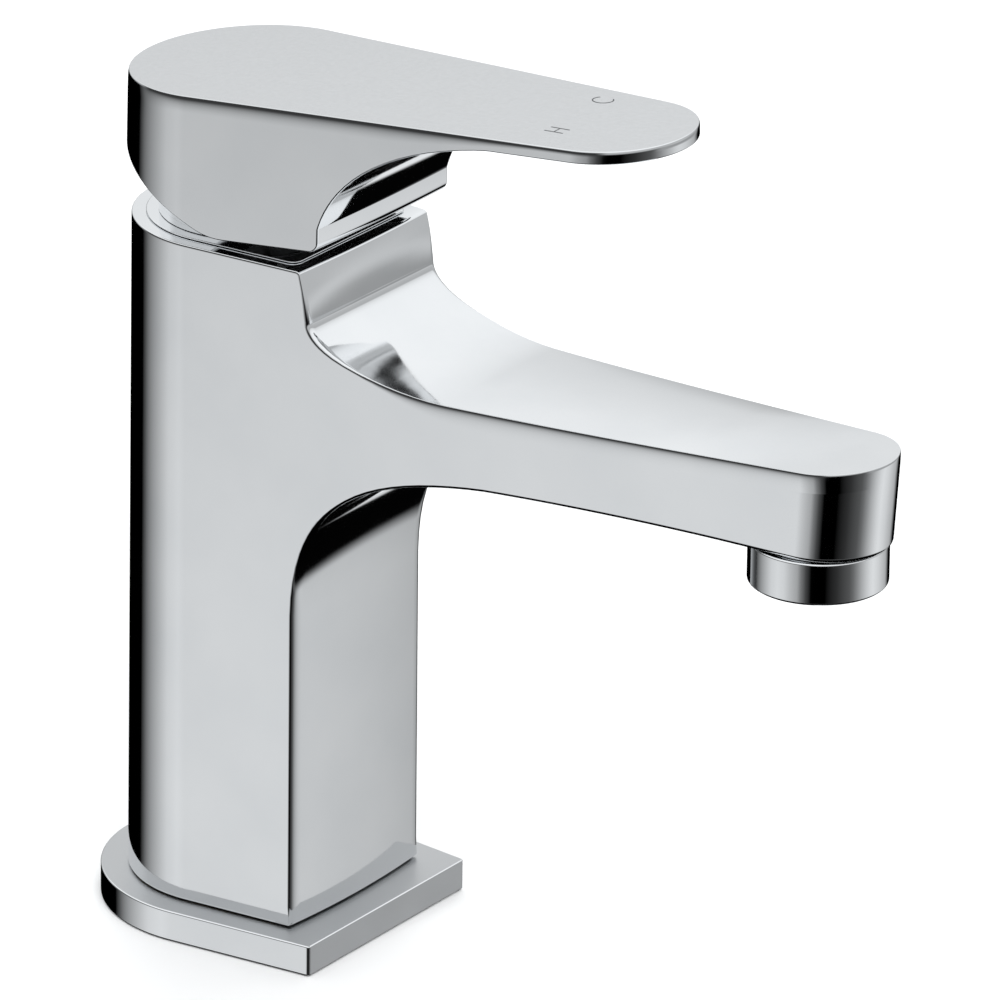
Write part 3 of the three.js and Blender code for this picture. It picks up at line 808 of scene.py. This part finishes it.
LEVER_TOP_FINISH = satin_top()
# Dark casting inside the lever's hub and on its boss: an unplated casting, whose dark colour is also
# painted shade inside the hollow.
HUB_SHADE_CASTING = machined("dark_casting_painted_shade", (0.3, 0.305, 0.31), 0.45, (1, 1, 1))
CAST = machined("raw_casting", (0.55, 0.43, 0.24), 0.42, (1, 1, 1))
BRASS = machined("turned_brass", (0.72, 0.55, 0.25), 0.28, (1, 1, 6))
STEEL = machined("drawn_steel", (0.56, 0.57, 0.58), 0.26, (4, 4, 1))
WHITE_ACETAL = plastic("white_acetal", (0.78, 0.78, 0.74), 0.42)
GREY_ACETAL = plastic("grey_acetal", (0.3, 0.32, 0.34), 0.45)
BLUE_ACETAL = plastic("blue_acetal", (0.06, 0.2, 0.48), 0.42)
CERAMIC = plastic("ground_ceramic", (0.86, 0.84, 0.78), 0.2)
RUBBER = plastic("black_rubber", (0.018, 0.018, 0.02), 0.62)
ENGRAVING = machined("dark_engraving", (0.2, 0.205, 0.215), 0.4, (1, 1, 1))


# ---- Body and spout ----

BODY_WALL = Wall((23.4, 10.9, 128.9), 0, (22.35, 13, 136.4), 150)


def spout_crown(y):
    return 0.5 * smooth(y, -36, -62) * smooth(y, -138, -112)


def band_bow(z):
    return 0.5 * smooth(z, CREASE[1] - 1, BODY_TOP)


def front_bow(z):
    return FRONT_BOW * smooth(z, BODY_FOOT + 92, BODY_FOOT + 62)


def top_edge_reach(y, z):
    """A crisp rim, a band that turns in at its ends, and a spout that rolls into its sides."""
    band = smooth(z, BODY_TOP - 0.5, CREASE[1]) * (1 - smooth(y, -30, -44))
    return 0.5 + 0.6 * band + 3.3 * smooth(y, -38, -66), 0.22 + 1.3 * band


def under_edge_reach(_, z):
    """A crisp foot and underside, and a front that rolls into the sides."""
    front = smooth(z, BODY_FOOT, BODY_FOOT + 1.5) * smooth(z, 98, 82)
    return 0.5 + 0.35 * smooth(z, BODY_FOOT, BODY_FOOT + 4), 0.4 + 2.2 * front


def make_body():
    upper_line = trace(
        (30, BODY_TOP),
        (0, (RIM_Y, BODY_TOP)),
        (0.9, (-28.9, BODY_TOP - 5.2), CREASE),
        (0.6, (-29.5, BODY_TOP - 15.4), (-45.8, BODY_TOP - 20.4), (-60, BODY_TOP - 20)),
        (0, (-88, BODY_TOP - 19.3), (-152, BODY_TOP - 15.3)),
    )
    lower_line = trace(
        (30, BODY_FOOT),
        (0, (FRONT_Y, BODY_FOOT)),
        (0.9, (FRONT_Y, 71)),
        (0, (FRONT_Y, 97), (-42.1, 104.3), (-67.6, 107.2)),
        (0, (-92, SPOUT_UNDER - 0.2), (-118, SPOUT_UNDER)),
        (0, (-152, SPOUT_UNDER)),
    )
    upper = Edge(BODY_WALL, upper_line, 1, top_edge_reach, band_bow, spout_crown)
    lower = Edge(BODY_WALL, lower_line, -1, under_edge_reach, front_bow)
    shell = Shell()
    foot = lower.flat_end()
    throat = next(i for i, s in enumerate(lower.samples) if s[1] > 92)
    upper.round_over(shell)
    lower.round_over(shell, 0, foot)
    lower.round_over(shell, throat)
    # The column's front face and its rounded edges, from the foot up under the spout, take the darker
    # chrome: painted shade.
    shell.slot = 2
    lower.round_over(shell, foot, throat)
    shell.slot = 0
    close_wall(shell, upper, lower, 1.1, 4.0, 4.5)

    rim = upper.flat_end()
    upper.across(shell, rim, len(upper.samples) - 1, COLUMNS)
    shell.fill([upper.rear_loop(rim, COLUMNS), circle_loop(MOUTH_RADIUS, BODY_TOP, (0, 0, 1))])

    nose = next(i for i, s in enumerate(lower.samples) if s[0] < -118)
    # The front face itself takes the darker chrome of painted shade.
    shell.slot = 2
    lower.across(shell, foot, throat, COLUMNS)
    shell.slot = 0
    lower.across(shell, throat, nose, COLUMNS)
    outlet = circle_loop(SOCKET_RADIUS, SPOUT_UNDER, (0, 0, -1), (0, AERATOR_Y))
    shell.fill([lower.tip_loop(nose, COLUMNS), outlet])

    def core_ring(z):
        rear, _, _, taper = BODY_WALL.plan(z)
        outline = d_outline(rear, 0, taper, 24.9, 3.5, CORE_WALL)
        return [((x, y, z), (-nx, -ny, 0)) for x, y, nx, ny in outline]

    shell.slot = 1
    low_ring, high_ring = core_ring(BODY_FOOT), core_ring(CORE_CEILING)
    shell.grid([low_ring, high_ring], closed=True)
    shell.fill([[((p[0], p[1]), (p, (0, 0, -1))) for p, _ in high_ring]])
    foot_hole = [((p[0], p[1]), (p, (0, 0, -1))) for p, _ in low_ring]
    shell.fill([lower.rear_loop(foot, COLUMNS), foot_hole])
    steps = [(MOUTH_RADIUS, BODY_TOP), (MOUTH_RADIUS, NUT_SEAT), (CHAMBER_RADIUS, NUT_SEAT),
             (CHAMBER_RADIUS, CHAMBER_FLOOR)]
    pot(shell, MOUTH_RADIUS, steps)
    steps = [(SOCKET_RADIUS, SPOUT_UNDER), (SOCKET_RADIUS, SOCKET_TOP)]
    pot(shell, SOCKET_RADIUS, steps, (0, AERATOR_Y))
    return shell.build("body_shell", [CHROME, CAST, FRONT_SHADE_CHROME], "root", "chrome", "body")


# Each hole in the inlet block's foot, as (x, y, radius, depth).
HOSES = [(8, 4, 5.0, 14), (-8, 4, 5.0, 14)]
STUD = (0, -10, 4.0, 32)
SPIGOT_RADIUS = 4.7
SEAT_RADIUS = SPIGOT_RADIUS + 0.3
SEAT_DEPTH = 4.2


def lobed_column(low, high):
    """Rings of a column of three lobes, one round each hose socket and one round the stud."""
    outline = []
    lobes = [(8, 4, 8.0, -70, 100), (-8, 4, 8.0, 80, 250), (0, -10, 7.2, 200, 340)]
    for x, y, radius, start, end in lobes:
        for angle in np.radians(np.linspace(start, end, 25)):
            n = (math.cos(angle), math.sin(angle))
            outline.append((x + radius * n[0], y + radius * n[1], *n))
    return [[((x, y, z), (nx, ny, 0)) for x, y, nx, ny in outline] for z in (low, high)]


def level_loop(ring, up):
    return [((p[0], p[1]), (p, (0, 0, up))) for p, _ in ring]


def inlet_block():
    """The brass block in the foot, with its hose sockets, stud hole and two spigots."""
    low, high = box_mm("inlet_block")
    shoulder = BODY_CORE_FOOT - 0.3
    shell = Shell()
    rings = lobed_column(low[2], shoulder)
    shell.grid(rings, closed=True)
    roots = [circle_loop(SPIGOT_RADIUS, shoulder, (0, 0, 1), (x, y), 48) for x, y, _, _ in HOSES]
    shell.fill([level_loop(rings[1], 1), *roots])
    mouths = [circle_loop(r, low[2], (0, 0, -1), (x, y), 48) for x, y, r, _ in [*HOSES, STUD]]
    shell.fill([level_loop(rings[0], -1), *mouths])
    for x, y, radius, depth in [*HOSES, STUD]:
        pot(shell, radius, [(radius, low[2]), (radius, depth)], (x, y), 48)
    for (x, y, _, _), root in zip(HOSES, roots):
        tops = circle_loop(SPIGOT_RADIUS, high[2], (0, 0, 1), (x, y), 48)
        sides = [[(p, (p[0] - x, p[1] - y, 0)) for _, (p, _) in loop] for loop in (root, tops)]
        shell.grid(sides, closed=True)
        shell.fill([tops])
    return shell.build("inlet_fitting", [BRASS], "root", "brass", "inlet_block")


def waterway_column():
    """The cast column over the inlet block, up to the floor of the cartridge's seat."""
    rings = lobed_column(BODY_CORE_FOOT, CORE_CEILING - 0.4)
    shell = Shell()
    shell.grid(rings, closed=True)
    shell.fill([level_loop(rings[1], 1)])
    centres = [(x, y) for x, y, _, _ in HOSES]
    down = (0, 0, -1)
    seats = [circle_loop(SEAT_RADIUS, BODY_CORE_FOOT, down, centre, 48) for centre in centres]
    shell.fill([level_loop(rings[0], -1), *seats])
    steps = [(SEAT_RADIUS, BODY_CORE_FOOT), (SEAT_RADIUS, BODY_CORE_FOOT + SEAT_DEPTH)]
    for centre in centres:
        pot(shell, SEAT_RADIUS, steps, centre, 48)
    return shell.build("waterway_column", [CAST], "root", "chrome", "body")


# ---- Base plate and top trim ----

PLATE_EDGE = 0.35
PLATE_HOLE_RADIUS = 17.8
TRIM_INSET = 2.8
TRIM_EDGE = 0.18
TRIM_HOLE_RADIUS = 16.4
NECK_RADIUS = 17.2
NECK_RIM = 1.2


def base_plate():
    def outline(inset):
        return d_outline(28.8, -0.1, 0.1, 34.1, 0.8, inset)

    shell = Shell()
    slab(shell, outline, PLATE_LOW[2], PLATE_HIGH[2], PLATE_EDGE, PLATE_HOLE_RADIUS)
    plate = shell.build("deck_plate", [CHROME, PLATE_SATIN_SHADE_CHROME], "root", "chrome", "base_plate")
    # The top and the front face take the satin chrome, whose darker colour is painted shade.
    for polygon in plate.data.polygons:
        if polygon.normal.z > 0.9 or polygon.normal.y < -0.9:
            polygon.material_index = 1
    return plate


def top_trim():
    rear, _, _, taper = BODY_WALL.plan(BODY_TOP)

    def outline(inset):
        return d_outline(rear - TRIM_INSET, 0, taper, 24.6, 2.2, inset)

    top, neck_top = BODY_TOP + 0.4, TRIM_HIGH[2]
    shell = Shell()
    slab(shell, outline, BODY_TOP + 0.1, top, TRIM_EDGE, TRIM_HOLE_RADIUS)
    disc = shell.build("trim_disc", [CHROME], "root", "chrome", "trim_plate")
    shell = Shell()
    turned(
        shell,
        [(14.6, 138), (15.8, 138), (15.8, top + 0.1), (NECK_RADIUS, top + 0.1),
         (NECK_RADIUS, neck_top), (12.8, neck_top), (12.8, neck_top - NECK_RIM),
         (14.6, neck_top - NECK_RIM)],
        [0.1, 0.2, 0.1, 0.1, 0.7, 0.3, 0.2, 0.1],
    )
    neck = shell.build("trim_neck", [CHROME], "root", "chrome", "trim_plate")
    return disc, neck


# ---- Lever ----

LEVER_WALL = Wall((23.5, 16.8, 84.5), 144, (22.8, 16.1, 84.5), 184)
LEVER_AXIS_TOP = 173.1
LEVER_SLOPE = 0.0765
LEVER_LIP = (-31.8, 147.9)
LEVER_BEND = (-7, 145.6)
HUB_WALL = 2.7
HUB_CEILING = 169.4
CAP_HOLE_RADIUS = 3.2
CAP_HOLE_FLOOR = 20.9
BOSS_RADIUS = 8.0
BOSS_LOW = 156
SPINDLE_SOCKET_HALF = 4.3
SPINDLE_SOCKET_TOP = 166.3


def lever_top(y):
    return LEVER_AXIS_TOP - LEVER_SLOPE * y


def recess_bow(z):
    return 0.4 * smooth(z, 172, 150)


def lever_edge_reach(y, _):
    """A long roll below the flat top, shorter where the blade is thin."""
    return 3.2 - 2.1 * smooth(y, -44, -80), 0.25


def recess_edge_reach(*_):
    """A crisp foot, and a softer edge round the recess."""
    return 0.35, 0.5


def cap_hole_loop():
    """The hole for the screw plug in the hub's rear wall, in the wall's own coordinates."""
    loop = []
    for k in range(40):
        angle = 2 * math.pi * k / 40
        x, z = CAP_HOLE_RADIUS * math.cos(angle), CAP_Z + CAP_HOLE_RADIUS * math.sin(angle)
        rear, _, _, taper = LEVER_WALL.plan(z)
        u = math.asin(x / rear) / (math.pi / 2 + taper) * LEVER_WALL.ends[0]
        loop.append(((u, z), LEVER_WALL.place(u, z)))
    return loop


def hub_outline(z):
    rear, _, _, taper = LEVER_WALL.plan(z)
    return d_outline(rear, 0, taper, 31.4, 4.2, HUB_WALL)


def make_lever():
    upper_line = trace((30, lever_top(30)), (0, (-110, lever_top(-110))))
    lower_line = trace(
        (30, 162),
        (0, LEVER_BEND),
        (14, LEVER_LIP),
        (2.2, (-31.8, 152.6)),
        (0.5, (-34.6, 162.6), (-46.1, 172.1), (-68, 175.7)),
        (0, (-110, lever_top(-110) - 2.6)),
    )
    upper = Edge(LEVER_WALL, upper_line, 1, lever_edge_reach)
    lower = Edge(LEVER_WALL, lower_line, -1, recess_edge_reach, recess_bow)
    shell = Shell()
    upper.round_over(shell)
    lower.round_over(shell)

    cap_hole = cap_hole_loop()
    close_wall(shell, upper, lower, 1.1, 4.0, 3.0, [cap_hole])
    tube, floor = [], []
    for _, (point, _) in cap_hole:
        inward = unit((-point[0], 0, CAP_Z - point[2]))
        foot = (point[0], CAP_HOLE_FLOOR, point[2])
        tube.append([(point, inward), (foot, inward)])
        floor.append(((point[0], point[2]), (foot, (0, 1, 0))))
    shell.grid(tube + tube[:1])
    shell.fill([floor])

    shell.slot = 1
    upper.across(shell, 0, len(upper.samples) - 1, 2)
    shell.slot = 0
    lip = max(i for i, s in enumerate(lower.samples) if s[1] < LEVER_LIP[1] + 3 and s[0] > -29.4)
    lower.across(shell, lip, len(lower.samples) - 1, COLUMNS)

    ys, zs, way_y, way_z = np.array(lower.samples[: lip + 1])[::-1].T

    def on_foot(x, y):
        way = (float(np.interp(y, ys, way_y)), float(np.interp(y, ys, way_z)))
        facing = -abs(way[0]) if way[0] < 0 else way[0]
        return (x, y, float(np.interp(y, ys, zs))), unit((0, way[1], facing))

    hollow = hub_outline(150)
    inner = [((x, y), on_foot(x, y)) for x, y, _, _ in hollow]
    bend = ys[(ys < -3) & (ys > -12)]
    foot_points = [(side * 21.3, y) for side in (-1, 1) for y in bend]
    shell.fill([lower.rear_loop(lip, COLUMNS), inner], on_foot, foot_points)
    # The hub's inner walls and ceiling take the dark casting, whose darkness is partly painted shade.
    shell.slot = 2
    low_ring = [(item[1][0], (-n[2], -n[3], 0)) for item, n in zip(inner, hollow)]
    high_ring = [((x, y, HUB_CEILING), (-nx, -ny, 0)) for x, y, nx, ny in hub_outline(169)]
    shell.grid([low_ring, high_ring], closed=True)
    shell.fill([level_loop(high_ring, -1)])
    return shell.build("lever", [CHROME, LEVER_TOP_FINISH, HUB_SHADE_CASTING], "lever", "chrome", "handle")


def lever_boss():
    """The boss inside the hub, with the square socket that sits on the spindle."""
    boss = Shell()
    low, half, socket_top = BOSS_LOW, SPINDLE_SOCKET_HALF, SPINDLE_SOCKET_TOP
    ring = [circle_loop(BOSS_RADIUS, z, (0, 0, 1), (0, 0), 64) for z in (low, HUB_CEILING)]
    rows = [[(item[1][0], (item[0][0], item[0][1], 0)) for item in loop] for loop in ring]
    boss.grid(rows, closed=True)
    square = [(-half, -half), (half, -half), (half, half), (-half, half)]
    mouth = [((x, y), ((x, y, low), (0, 0, -1))) for x, y in square]
    boss.fill([[(uv, (p, (0, 0, -1))) for uv, (p, _) in ring[0]], mouth])
    boss.fill([[(uv, (p, (0, 0, 1))) for uv, (p, _) in ring[1]]])
    for (xa, ya), (xb, yb) in zip(square, square[1:] + square[:1]):
        n = (-(xa + xb) / 2, -(ya + yb) / 2, 0)
        side = [(xa, ya, low), (xb, yb, low), (xb, yb, socket_top), (xa, ya, socket_top)]
        boss.face([(point, n) for point in side])
    boss.face([((x, y, socket_top), (0, 0, -1)) for x, y in square])
    # The boss takes the dark casting, whose darkness is partly painted shade.
    return boss.build("lever_boss", [HUB_SHADE_CASTING], "lever", "chrome", "handle")


def lying_disc(shell, section, z):
    """A piece turned about a level axis along Y, from an (r, y) outline, centred at this z."""
    segments = 48
    rows = []
    for r, y, nr, ny in section:
        ring = []
        for k in range(segments):
            c, s = math.cos(2 * math.pi * k / segments), math.sin(2 * math.pi * k / segments)
            ring.append(((r * c, y, z + r * s), (nr * c, ny, nr * s)))
        rows.append(ring)
    shell.grid(rows, closed=True)


def screw_cap():
    outside = CAP_HIGH[1]
    section = rounded(
        [(0, 21.3), (2.9, 21.3), (2.9, outside - 0.9), (3.9, outside - 0.9), (3.9, outside),
         (0, outside)],
        [0, 0.2, 0, 0.15, 0.35, 0],
    )
    shell = Shell()
    lying_disc(shell, section[1:-1], CAP_Z)
    return shell.build("screw_plug", [CHROME], "lever", "chrome", "screw_cap")


def ribbon(shell, line, width):
    """A thin raised line on the lever's top along (x, y) points."""
    proud = 0.03
    line = [np.array(p, float) for p in line]
    rows = []
    for i, p in enumerate(line):
        way = unit(line[min(i + 1, len(line) - 1)] - line[max(i - 1, 0)])
        side = np.array([-way[1], way[0]]) * width / 2
        left, right = p + side, p - side
        corners = [(left, -0.2), (left, proud), (right, proud), (right, -0.2)]
        rows.append([(q[0], q[1], lever_top(q[1]) + h) for q, h in corners])
    up = (0, 0, 1)
    for a, b in zip(rows, rows[1:]):
        out = unit(np.array(a[0]) - np.array(a[3]))
        shell.face([(a[1], up), (b[1], up), (b[2], up), (a[2], up)])
        shell.face([(a[0], (0, 0, -1)), (b[0], (0, 0, -1)), (b[3], (0, 0, -1)), (a[3], (0, 0, -1))])
        shell.face([(a[0], out), (b[0], out), (b[1], out), (a[1], out)])
        shell.face([(a[3], -out), (b[3], -out), (b[2], -out), (a[2], -out)])
    for row, way in ((rows[0], line[0] - line[1]), (rows[-1], line[-1] - line[-2])):
        shell.face([(p, (way[0], way[1], 0)) for p in row])


def hot_and_cold_marks():
    stroke, height = 0.26, 4.2
    x, y = -7.4, -77.0
    shell = Shell()
    for side in (-1, 1):
        ribbon(shell, [(x + side * 1.1, y - height / 2), (x + side * 1.1, y + height / 2)], stroke)
    shell.build("hot_mark", [ENGRAVING], "lever", "chrome")
    bar = Shell()
    ribbon(bar, [(x - 0.9, y), (x + 0.9, y)], stroke * 0.8)
    bar.build("hot_mark_bar", [ENGRAVING], "lever", "chrome")
    x, y = 11.3, -74.3
    shell = Shell()
    angles = np.radians(np.linspace(45, 315, 28))
    ribbon(shell, [(x + 1.75 * math.cos(a), y + 2.1 * math.sin(a)) for a in angles], stroke)
    shell.build("cold_mark", [ENGRAVING], "lever", "chrome")


# ---- Aerator ----


def aerator_ring():
    radius = (RING_HIGH[0] - RING_LOW[0]) / 2
    mouth, top = RING_LOW[2], RING_HIGH[2]
    shoulder = SPOUT_UNDER - 0.4
    shell = Shell()
    turned(
        shell,
        [(8.6, mouth), (radius, mouth), (radius, shoulder), (11.1, shoulder), (11.1, top), (9.2, top),
         (9.2, mouth + 2), (8.6, mouth + 2)],
        [0.2, 0.6, 0.35, 0, 0.3, 0.2, 0, 0],
        (0, AERATOR_Y),
        128,
    )
    return shell.build("outlet_ring", [CHROME], "root", "chrome", "aerator_housing")


# ---- Pieces that keep their CAD shape ----

FINISHES = {
    "plate_seal": RUBBER,
    "deck_gasket": RUBBER,
    "port_seal": RUBBER,
    "carrier_seal": RUBBER,
    "aerator_washer": RUBBER,
    "cartridge_nut": BRASS,
    "cartridge_housing": WHITE_ACETAL,
    "cartridge_base": WHITE_ACETAL,
    "aerator_insert": WHITE_ACETAL,
    "fixed_disc": CERAMIC,
    "moving_disc": CERAMIC,
    "disc_carriage": GREY_ACETAL,
    "spindle_carrier": GREY_ACETAL,
    "flow_regulator": GREY_ACETAL,
    "temperature_stop": BLUE_ACETAL,
    "spindle": STEEL,
    "spindle_pin": STEEL,
    "grub_screw": STEEL,
    "aerator_screen": STEEL,
}


def finish_cad_nodes():
    for name, finish in FINISHES.items():
        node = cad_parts[name]
        node.data.materials.clear()
        node.data.materials.append(finish)


# ---- Studio ----


def sky_mask(nodes, links, direction, azimuth, inner, outer, below, low, high, above):
    """A soft-edged patch of sky: azimuth half widths and four elevations, in degrees."""
    def math_node(operation, a, b):
        node = nodes.new("ShaderNodeMath")
        node.operation = operation
        for socket, value in zip(node.inputs, (a, b)):
            if isinstance(value, (int, float)):
                socket.default_value = value
            else:
                links.new(value, socket)
        return node.outputs[0]

    def ramp(source, start, end):
        node = nodes.new("ShaderNodeMapRange")
        node.interpolation_type = "SMOOTHSTEP"
        node.inputs["From Min"].default_value = start
        node.inputs["From Max"].default_value = end
        links.new(source, node.inputs["Value"])
        return node.outputs["Result"]

    x, y, z = direction
    def weighted(a, b):
        return math_node("ADD", math_node("MULTIPLY", x, a), math_node("MULTIPLY", y, b))

    level = math_node("SQRT", weighted(x, y), 0.5)
    angle = math.radians(azimuth)
    toward = weighted(math.cos(angle), math.sin(angle))
    cosine = math_node("DIVIDE", toward, math_node("MAXIMUM", level, 1e-4))
    mask = 1.0
    if outer < 180:
        mask = ramp(cosine, math.cos(math.radians(outer)), math.cos(math.radians(inner)))
    rising = ramp(z, math.sin(math.radians(below)), math.sin(math.radians(low)))
    falling = ramp(z, math.sin(math.radians(above)), math.sin(math.radians(high)))
    return math_node("MULTIPLY", math_node("MULTIPLY", rising, falling), mask)


# Light just below the horizon, as (azimuth in degrees anticlockwise from +X, level).
RING = [
    (-180, 0.4), (-174, 0.2), (-166, 0.06), (-158, 0.0), (-135, 0.0), (-115, 0.03), (-94, 0.09),
    (-87, 0.15), (-79, 0.27), (-71, 0.42), (-63, 0.56), (-54, 0.7), (-46, 0.77), (-33, 0.68),
    (-22, 0.57), (-8, 0.44), (5, 0.0), (57, 0.0), (90, 0.0), (96, 0.08), (103, 0.22), (109, 0.33),
    (121, 0.52), (132, 0.7), (145, 0.77), (157, 0.71), (166, 0.57), (173, 0.48), (180, 0.4),
]
RING_SPAN = (-36, -31, -12, -3)

# Light from the horizon up, as (sine of the elevation, level).
CLIMB = [
    (-1.0, 0.5), (0.0, 0.5), (0.2, 0.45), (0.26, 0.73), (0.305, 0.78), (0.38, 0.88), (0.5, 0.96),
    (1.0, 1.0),
]

# Each patch sets the sky to a level: azimuth, inner and outer half width, the elevations where it
# starts, is full, is still full and ends, and the level of light.
PATCHES = [
    (150, 40, 60, -25, -8, 10, 16, 0.04),
    (150, 40, 60, 11, 17, 25, 32, 0.62),
    (318, 26, 50, -20, -17, -13, -6, 0.34),
]
GROUND = 0.001

# One lit patch below the horizon, stated like the others. It lights the lever's foot.
LIT_GROUND = (24, 12, 18, -90, -89, -34, -29)
LIT_GROUND_LEVEL = 0.85


def grey(level):
    """Studio light of this level, very slightly cool."""
    return (level * 0.975, level * 0.99, level, 1)


def ramp_of(nodes, stops, low, high):
    """A colour ramp of light levels over a value that runs from low to high."""
    node = nodes.new("ShaderNodeValToRGB")
    while len(node.color_ramp.elements) < len(stops):
        node.color_ramp.elements.new(0.5)
    for element, (value, level) in zip(node.color_ramp.elements, stops):
        element.position = (value - low) / (high - low)
        element.color = grey(level)
    return node


def blended(nodes, links, mask, below, above):
    mix = nodes.new("ShaderNodeMix")
    mix.data_type = "RGBA"
    links.new(mask, mix.inputs["Factor"])
    for socket, value in ((mix.inputs["A"], below), (mix.inputs["B"], above)):
        if isinstance(value, tuple):
            socket.default_value = value
        else:
            links.new(value, socket)
    return mix.outputs["Result"]


def studio_sky():
    world = bpy.data.worlds.new("studio")
    bpy.context.scene.world = world
    world.use_nodes = True
    nodes, links = world.node_tree.nodes, world.node_tree.links
    where = nodes.new("ShaderNodeTexCoord")
    split = nodes.new("ShaderNodeSeparateXYZ")
    links.new(where.outputs["Generated"], split.inputs[0])
    x, y, z = direction = [split.outputs[k] for k in range(3)]

    def remapped(source, low, high):
        node = nodes.new("ShaderNodeMapRange")
        node.inputs["From Min"].default_value = low
        node.inputs["From Max"].default_value = high
        links.new(source, node.inputs["Value"])
        return node.outputs["Result"]

    climb = ramp_of(nodes, CLIMB, -1, 1)
    links.new(remapped(z, -1, 1), climb.inputs["Fac"])
    turn = nodes.new("ShaderNodeMath")
    turn.operation = "ARCTAN2"
    links.new(y, turn.inputs[0])
    links.new(x, turn.inputs[1])
    ring = ramp_of(nodes, RING, -180, 180)
    links.new(remapped(turn.outputs[0], -math.pi, math.pi), ring.inputs["Fac"])
    everywhere = (0, 0, 180)
    mask = sky_mask(nodes, links, direction, *everywhere, *RING_SPAN)
    light = blended(nodes, links, mask, climb.outputs["Color"], ring.outputs["Color"])
    for *patch, level in PATCHES:
        mask = sky_mask(nodes, links, direction, *patch)
        light = blended(nodes, links, mask, light, grey(level))
    mask = sky_mask(nodes, links, direction, *everywhere, -90, -89, *RING_SPAN[:2])
    light = blended(nodes, links, mask, light, grey(GROUND))
    mask = sky_mask(nodes, links, direction, *LIT_GROUND)
    light = blended(nodes, links, mask, light, grey(LIT_GROUND_LEVEL))
    links.new(light, nodes["Background"].inputs["Color"])


def floor():
    made, shader = material("pale_floor", (0.93, 0.93, 0.93), 0.9)
    vary_colour(made, shader, noise(made, 6, 2), (0.925, 0.925, 0.925), (0.935, 0.935, 0.935))
    mesh = bpy.data.meshes.new("floor")
    reach, count = 6.0, 12
    grid = np.linspace(-reach, reach, count + 1)
    points = [(x, y, 0) for y in grid for x in grid]
    faces = [
        (i, i + 1, i + count + 2, i + count + 1)
        for row in range(count)
        for i in range(row * (count + 1), row * (count + 1) + count)
    ]
    mesh.from_pydata(points, [], faces)
    mesh.materials.append(made)
    made_floor = bpy.data.objects.new("floor", mesh)
    made_floor.location.z = -0.0002
    bpy.context.scene.collection.objects.link(made_floor)
    made_floor.visible_glossy = False


def softbox(name, position, size, energy):
    light = bpy.data.lights.new(name, "AREA")
    light.shape = "DISK"
    light.size = size
    light.energy = energy
    lamp = bpy.data.objects.new(name, light)
    lamp.location = position
    lamp.rotation_euler = (-Vector(position)).to_track_quat("-Z", "Y").to_euler()
    lamp.visible_glossy = False
    bpy.context.scene.collection.objects.link(lamp)


def camera():
    """A long lens from the front left, a little above, held very slightly off level."""
    data = bpy.data.cameras.new("camera")
    data.lens = 379.0
    data.sensor_width = 36.0
    data.clip_start, data.clip_end = 0.05, 50
    lens = bpy.data.objects.new("camera", data)
    turn, tilt, roll, distance = -0.9538, 0.396, 0.0124, 2.0
    target = Vector((0, -0.05982, 0.09776))
    back = Vector((math.sin(turn) * math.cos(tilt), -math.cos(turn) * math.cos(tilt), math.sin(tilt)))
    right = Vector((math.cos(turn), math.sin(turn), 0))
    up = back.cross(right)
    axes = (
        right * math.cos(roll) + up * math.sin(roll),
        up * math.cos(roll) - right * math.sin(roll),
        back,
    )
    pose = Matrix([[axis[k] for axis in axes] for k in range(3)]).to_4x4()
    pose.translation = target + back * distance
    lens.matrix_world = pose
    bpy.context.scene.collection.objects.link(lens)
    bpy.context.scene.camera = lens


camera()
studio_sky()
floor()
softbox("key", (-1.2, -1.4, 2.2), 1.6, 34)
softbox("fill", (1.4, 0.6, 2.0), 1.8, 18)
bpy.context.scene.view_settings.view_transform = "Standard"

make_body()
inlet_block()
waterway_column()
base_plate()
top_trim()
make_lever()
lever_boss()
screw_cap()
hot_and_cold_marks()
aerator_ring()
finish_cad_nodes()
